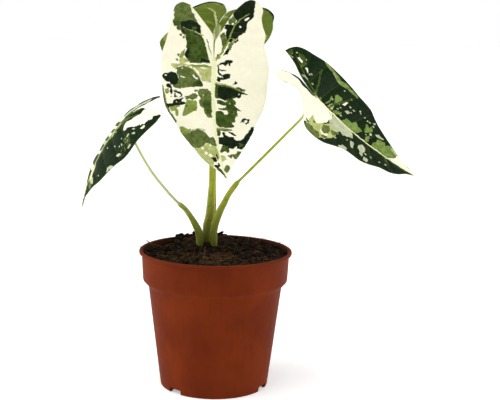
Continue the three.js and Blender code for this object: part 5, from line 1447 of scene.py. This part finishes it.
# Long fibres: points and radius.
LONG_FIBRES = (
    ([(-56, 15, 112.5), (-52, 12, 110.5), (-49, 10, 109.6), (-41, 6, 108.8), (-36, 12, 109.8),
      (-33, 16, 109.3)], 0.36),
    ([(-54, 10, 109), (-55, 8, 113), (-52, 7, 111), (-47, 2, 107.6)], 0.18),
    ([(-58.5, -6, 109.2), (-54, -9, 107.6), (-50, -11, 106.6), (-44, -12, 105.8), (-38, -14, 105.6)], 0.3),
    ([(-56, 2, 106), (-58, 1, 109), (-60, -1, 110.2), (-62, -2, 108.6)], 0.2),
    ([(26, 40, 106), (28, 42, 110.5), (31, 43, 112), (34, 42, 110.5)], 0.2),
    ([(34, 38, 105), (37, 39, 109), (39.5, 39, 110), (42, 38, 108)], 0.18),
    ([(48, 24, 104), (50, 25, 108.5), (53, 25, 109.6), (56, 23, 108.9)], 0.22),
    ([(12, -46, 104.6), (20, -49, 105.4), (27, -46, 105.2), (33, -41, 104.8)], 0.22),
    ([(-24, -44, 104.8), (-19, -48, 105.6), (-11, -49, 105.3)], 0.2),
)


# Short fibres. Some lie in a tuft in front of the stalks, given by its middle and spread along X and Y.
# Each runs in steps, with a curl in radians a step, and turns aside where it would leave the mix.
FIBRES = 1000
FIBRE_MARGIN = 3
TUFT_SHARE = 0.5
TUFT_X, TUFT_Y = (4, 15), (-24, 9)
FIBRE_CURL = (-0.35, 0.35)
FIBRE_STEP = (0.8, 2.1)
FIBRE_STEPS = 5
FIBRE_RISE = (0.1, 0.9)
FIBRE_LIFT = 0.25
FIBRE_RADIUS = (0.08, 0.2)
TURNING_MARGIN = 1
TURNING_STEP = 0.5


def fibre_mesh():
    """Coir fibres: short bent threads on the surface, and a few long ones that reach over the rim."""
    bm = bmesh.new()
    for points, radius in LONG_FIBRES:
        path = smooth_curve(points, per_span=5)
        tube(bm, [Vector(p) for p in path], radius)
    for _ in range(FIBRES):
        x, y = random_spot(MIX_EDGE_RADIUS - FIBRE_MARGIN)
        if rng.random() < TUFT_SHARE:
            x, y = rng.gauss(*TUFT_X), rng.gauss(*TUFT_Y)
        heading, curl = rng.uniform(0, FULL_TURN), rng.uniform(*FIBRE_CURL)
        step, rise = rng.uniform(*FIBRE_STEP), rng.uniform(*FIBRE_RISE)
        points = []
        for n in range(FIBRE_STEPS + 1):
            lift = rise * math.sin(math.pi * n / FIBRE_STEPS) + FIBRE_LIFT
            points.append(Vector((x, y, rough_height(x, y) + lift)))
            nx, ny = x + step * math.cos(heading), y + step * math.sin(heading)
            if math.hypot(nx, ny) > MIX_EDGE_RADIUS - TURNING_MARGIN:
                heading += math.pi / 2
                nx = x + step * math.cos(heading) * TURNING_STEP
                ny = y + step * math.sin(heading) * TURNING_STEP
            x, y = nx, ny
            heading += curl
        tube(bm, points, rng.uniform(*FIBRE_RADIUS), 4)
    return finished_mesh(bm, "mix_fibres")


# The plant in its pot

for seed, (side, (leaf, _)) in enumerate(STALKS.items(), start=1):
    material = leaf_material(f"leaf_skin_{side}", leaf["base"])
    mesh = blade_mesh(f"leaf_blade_{side}", leaf, seed)
    add_piece(f"leaf_blade_{side}", mesh, material, f"blade_{side}")

stalk_skin = stalk_material()
for side, (leaf, stations) in STALKS.items():
    mesh = stalk_mesh(f"leaf_stalk_{side}", leaf, stations, PALENESS[side])
    add_piece(f"leaf_stalk_{side}", mesh, stalk_skin, f"stalk_{side}")

pot = add_piece("nursery_pot", pot_mesh(), pot_material(), "pot")
pot.data.set_sharp_from_angle(angle=math.radians(SHARP_ANGLE))

earth = mix_material("peat_mix", srgb(18, 13, 9), srgb(48, 34, 23), srgb(88, 64, 42))
crumbs = mix_material("peat_crumbs", srgb(16, 12, 9), srgb(48, 34, 24), srgb(88, 66, 44))
threads = mix_material("coir_fibre", srgb(74, 52, 32), srgb(126, 96, 62), srgb(176, 148, 108))
add_piece("potting_mix_body", mix_mesh(), earth, "potting_mix")
add_piece("potting_mix_crumbs", crumb_mesh(), crumbs, None, smooth=False)
add_piece("potting_mix_fibres", fibre_mesh(), threads, None)

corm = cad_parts["corm"]
corm.data.materials.clear()
corm.data.materials.append(corm_material())

# Floor, light and camera, in metres

FLOOR_SIZE = 12.0
FLOOR_SHIFT = 3
FLOOR_TONES = (0.78, 0.78, 0.78, 1), (0.8, 0.8, 0.8, 1)
FLOOR_ROUGHNESS = 0.8
FLOOR_GLOW = 0.4


def floor_material():
    """A white sheet that glows a little, so that it stays white in the picture."""
    sh = Shader("floor")
    place = sh.node("TexCoord").outputs["Object"]
    tone = sh.range(sh.noise(place, 3.0), 0.3, 0.7)
    sh.bsdf.inputs["Emission Color"].default_value = WHITE
    sh.bsdf.inputs["Emission Strength"].default_value = FLOOR_GLOW
    return sh.finish(sh.mix(tone, *FLOOR_TONES), FLOOR_ROUGHNESS)


FLOOR_CORNERS = [(x * FLOOR_SIZE / 2, y * FLOOR_SIZE / 2 + FLOOR_SHIFT, 0)
                 for x, y in ((-1, -1), (1, -1), (1, 1), (-1, 1))]
floor = new_object("floor", FLOOR_CORNERS, [(0, 1, 2, 3)])
floor.data.materials.append(floor_material())

# The light of the walls: where it fades along an axis of the world, and how strong it is on both sides.
CEILING_FADE = (0.2, 0.45, 1.0, 0.33)
FRONT_FADE = (-0.75, -0.3, 0.37, 1.0)


def studio_world():
    """White walls behind and beside the plant, a dimmer ceiling and a dim room behind the camera."""
    world = bpy.data.worlds.new("studio")
    world.use_nodes = True
    tree = world.node_tree
    place = tree.nodes.new("ShaderNodeTexCoord")
    parts = tree.nodes.new("ShaderNodeSeparateXYZ")
    tree.links.new(place.outputs["Generated"], parts.inputs[0])
    both = tree.nodes.new("ShaderNodeMath")
    both.operation = "MULTIPLY"
    for socket, axis, values in zip(both.inputs, "ZY", (CEILING_FADE, FRONT_FADE)):
        fade = tree.nodes.new("ShaderNodeMapRange")
        fade.interpolation_type = "SMOOTHSTEP"
        for key, value in zip(("From Min", "From Max", "To Min", "To Max"), values):
            fade.inputs[key].default_value = value
        tree.links.new(parts.outputs[axis], fade.inputs["Value"])
        tree.links.new(fade.outputs[0], socket)
    background = tree.nodes["Background"]
    tree.links.new(both.outputs[0], background.inputs["Strength"])
    background.inputs["Color"].default_value = WHITE
    bpy.context.scene.world = world


def soft_sun(name, place, strength, spread):
    """Even light from the direction of the place, softened over the spread in degrees."""
    light = bpy.data.lights.new(name, "SUN")
    light.energy = strength
    light.angle = math.radians(spread)
    made = bpy.data.objects.new(name, light)
    made.location = place
    made.rotation_euler = (-Vector(place)).to_track_quat("-Z", "Y").to_euler()
    bpy.context.scene.collection.objects.link(made)


studio_world()
soft_sun("key", (-0.7, -0.8, 2.0), 1.35, 50)
soft_sun("top", (0, 0.2, 1.6), 0.55, 80)
soft_sun("left_fill", (-1.5, 0.1, 0.5), 1.75, 45)
soft_sun("right_fill", (1.5, 0.1, 0.5), 1.5, 45)

# The camera's angles are in radians, and its lens and sensor in millimetres.
CAMERA_PLACE = (0, -0.8584, 0.2939)
CAMERA_PITCH = 0.1681
CAMERA_YAW = 0.0306
CAMERA_ROLL = 0.0191
CAMERA_LENS = 80.23
CAMERA_SENSOR = 36
camera = bpy.data.objects.new("camera", bpy.data.cameras.new("camera"))
camera.data.lens = CAMERA_LENS
camera.data.sensor_width = CAMERA_SENSOR
camera.location = CAMERA_PLACE
forward = Vector((
    math.sin(CAMERA_YAW) * math.cos(CAMERA_PITCH),
    math.cos(CAMERA_YAW) * math.cos(CAMERA_PITCH),
    -math.sin(CAMERA_PITCH),
))
level = Vector((math.cos(CAMERA_YAW), -math.sin(CAMERA_YAW), 0))
above = level.cross(forward)
right = level * math.cos(CAMERA_ROLL) + above * math.sin(CAMERA_ROLL)
above = right.cross(forward)
camera.rotation_mode = "QUATERNION"
camera.rotation_quaternion = Matrix((right, above, -forward)).transposed().to_quaternion()
bpy.context.scene.collection.objects.link(camera)
bpy.context.scene.camera = camera
bpy.context.scene.view_settings.view_transform = "Standard"
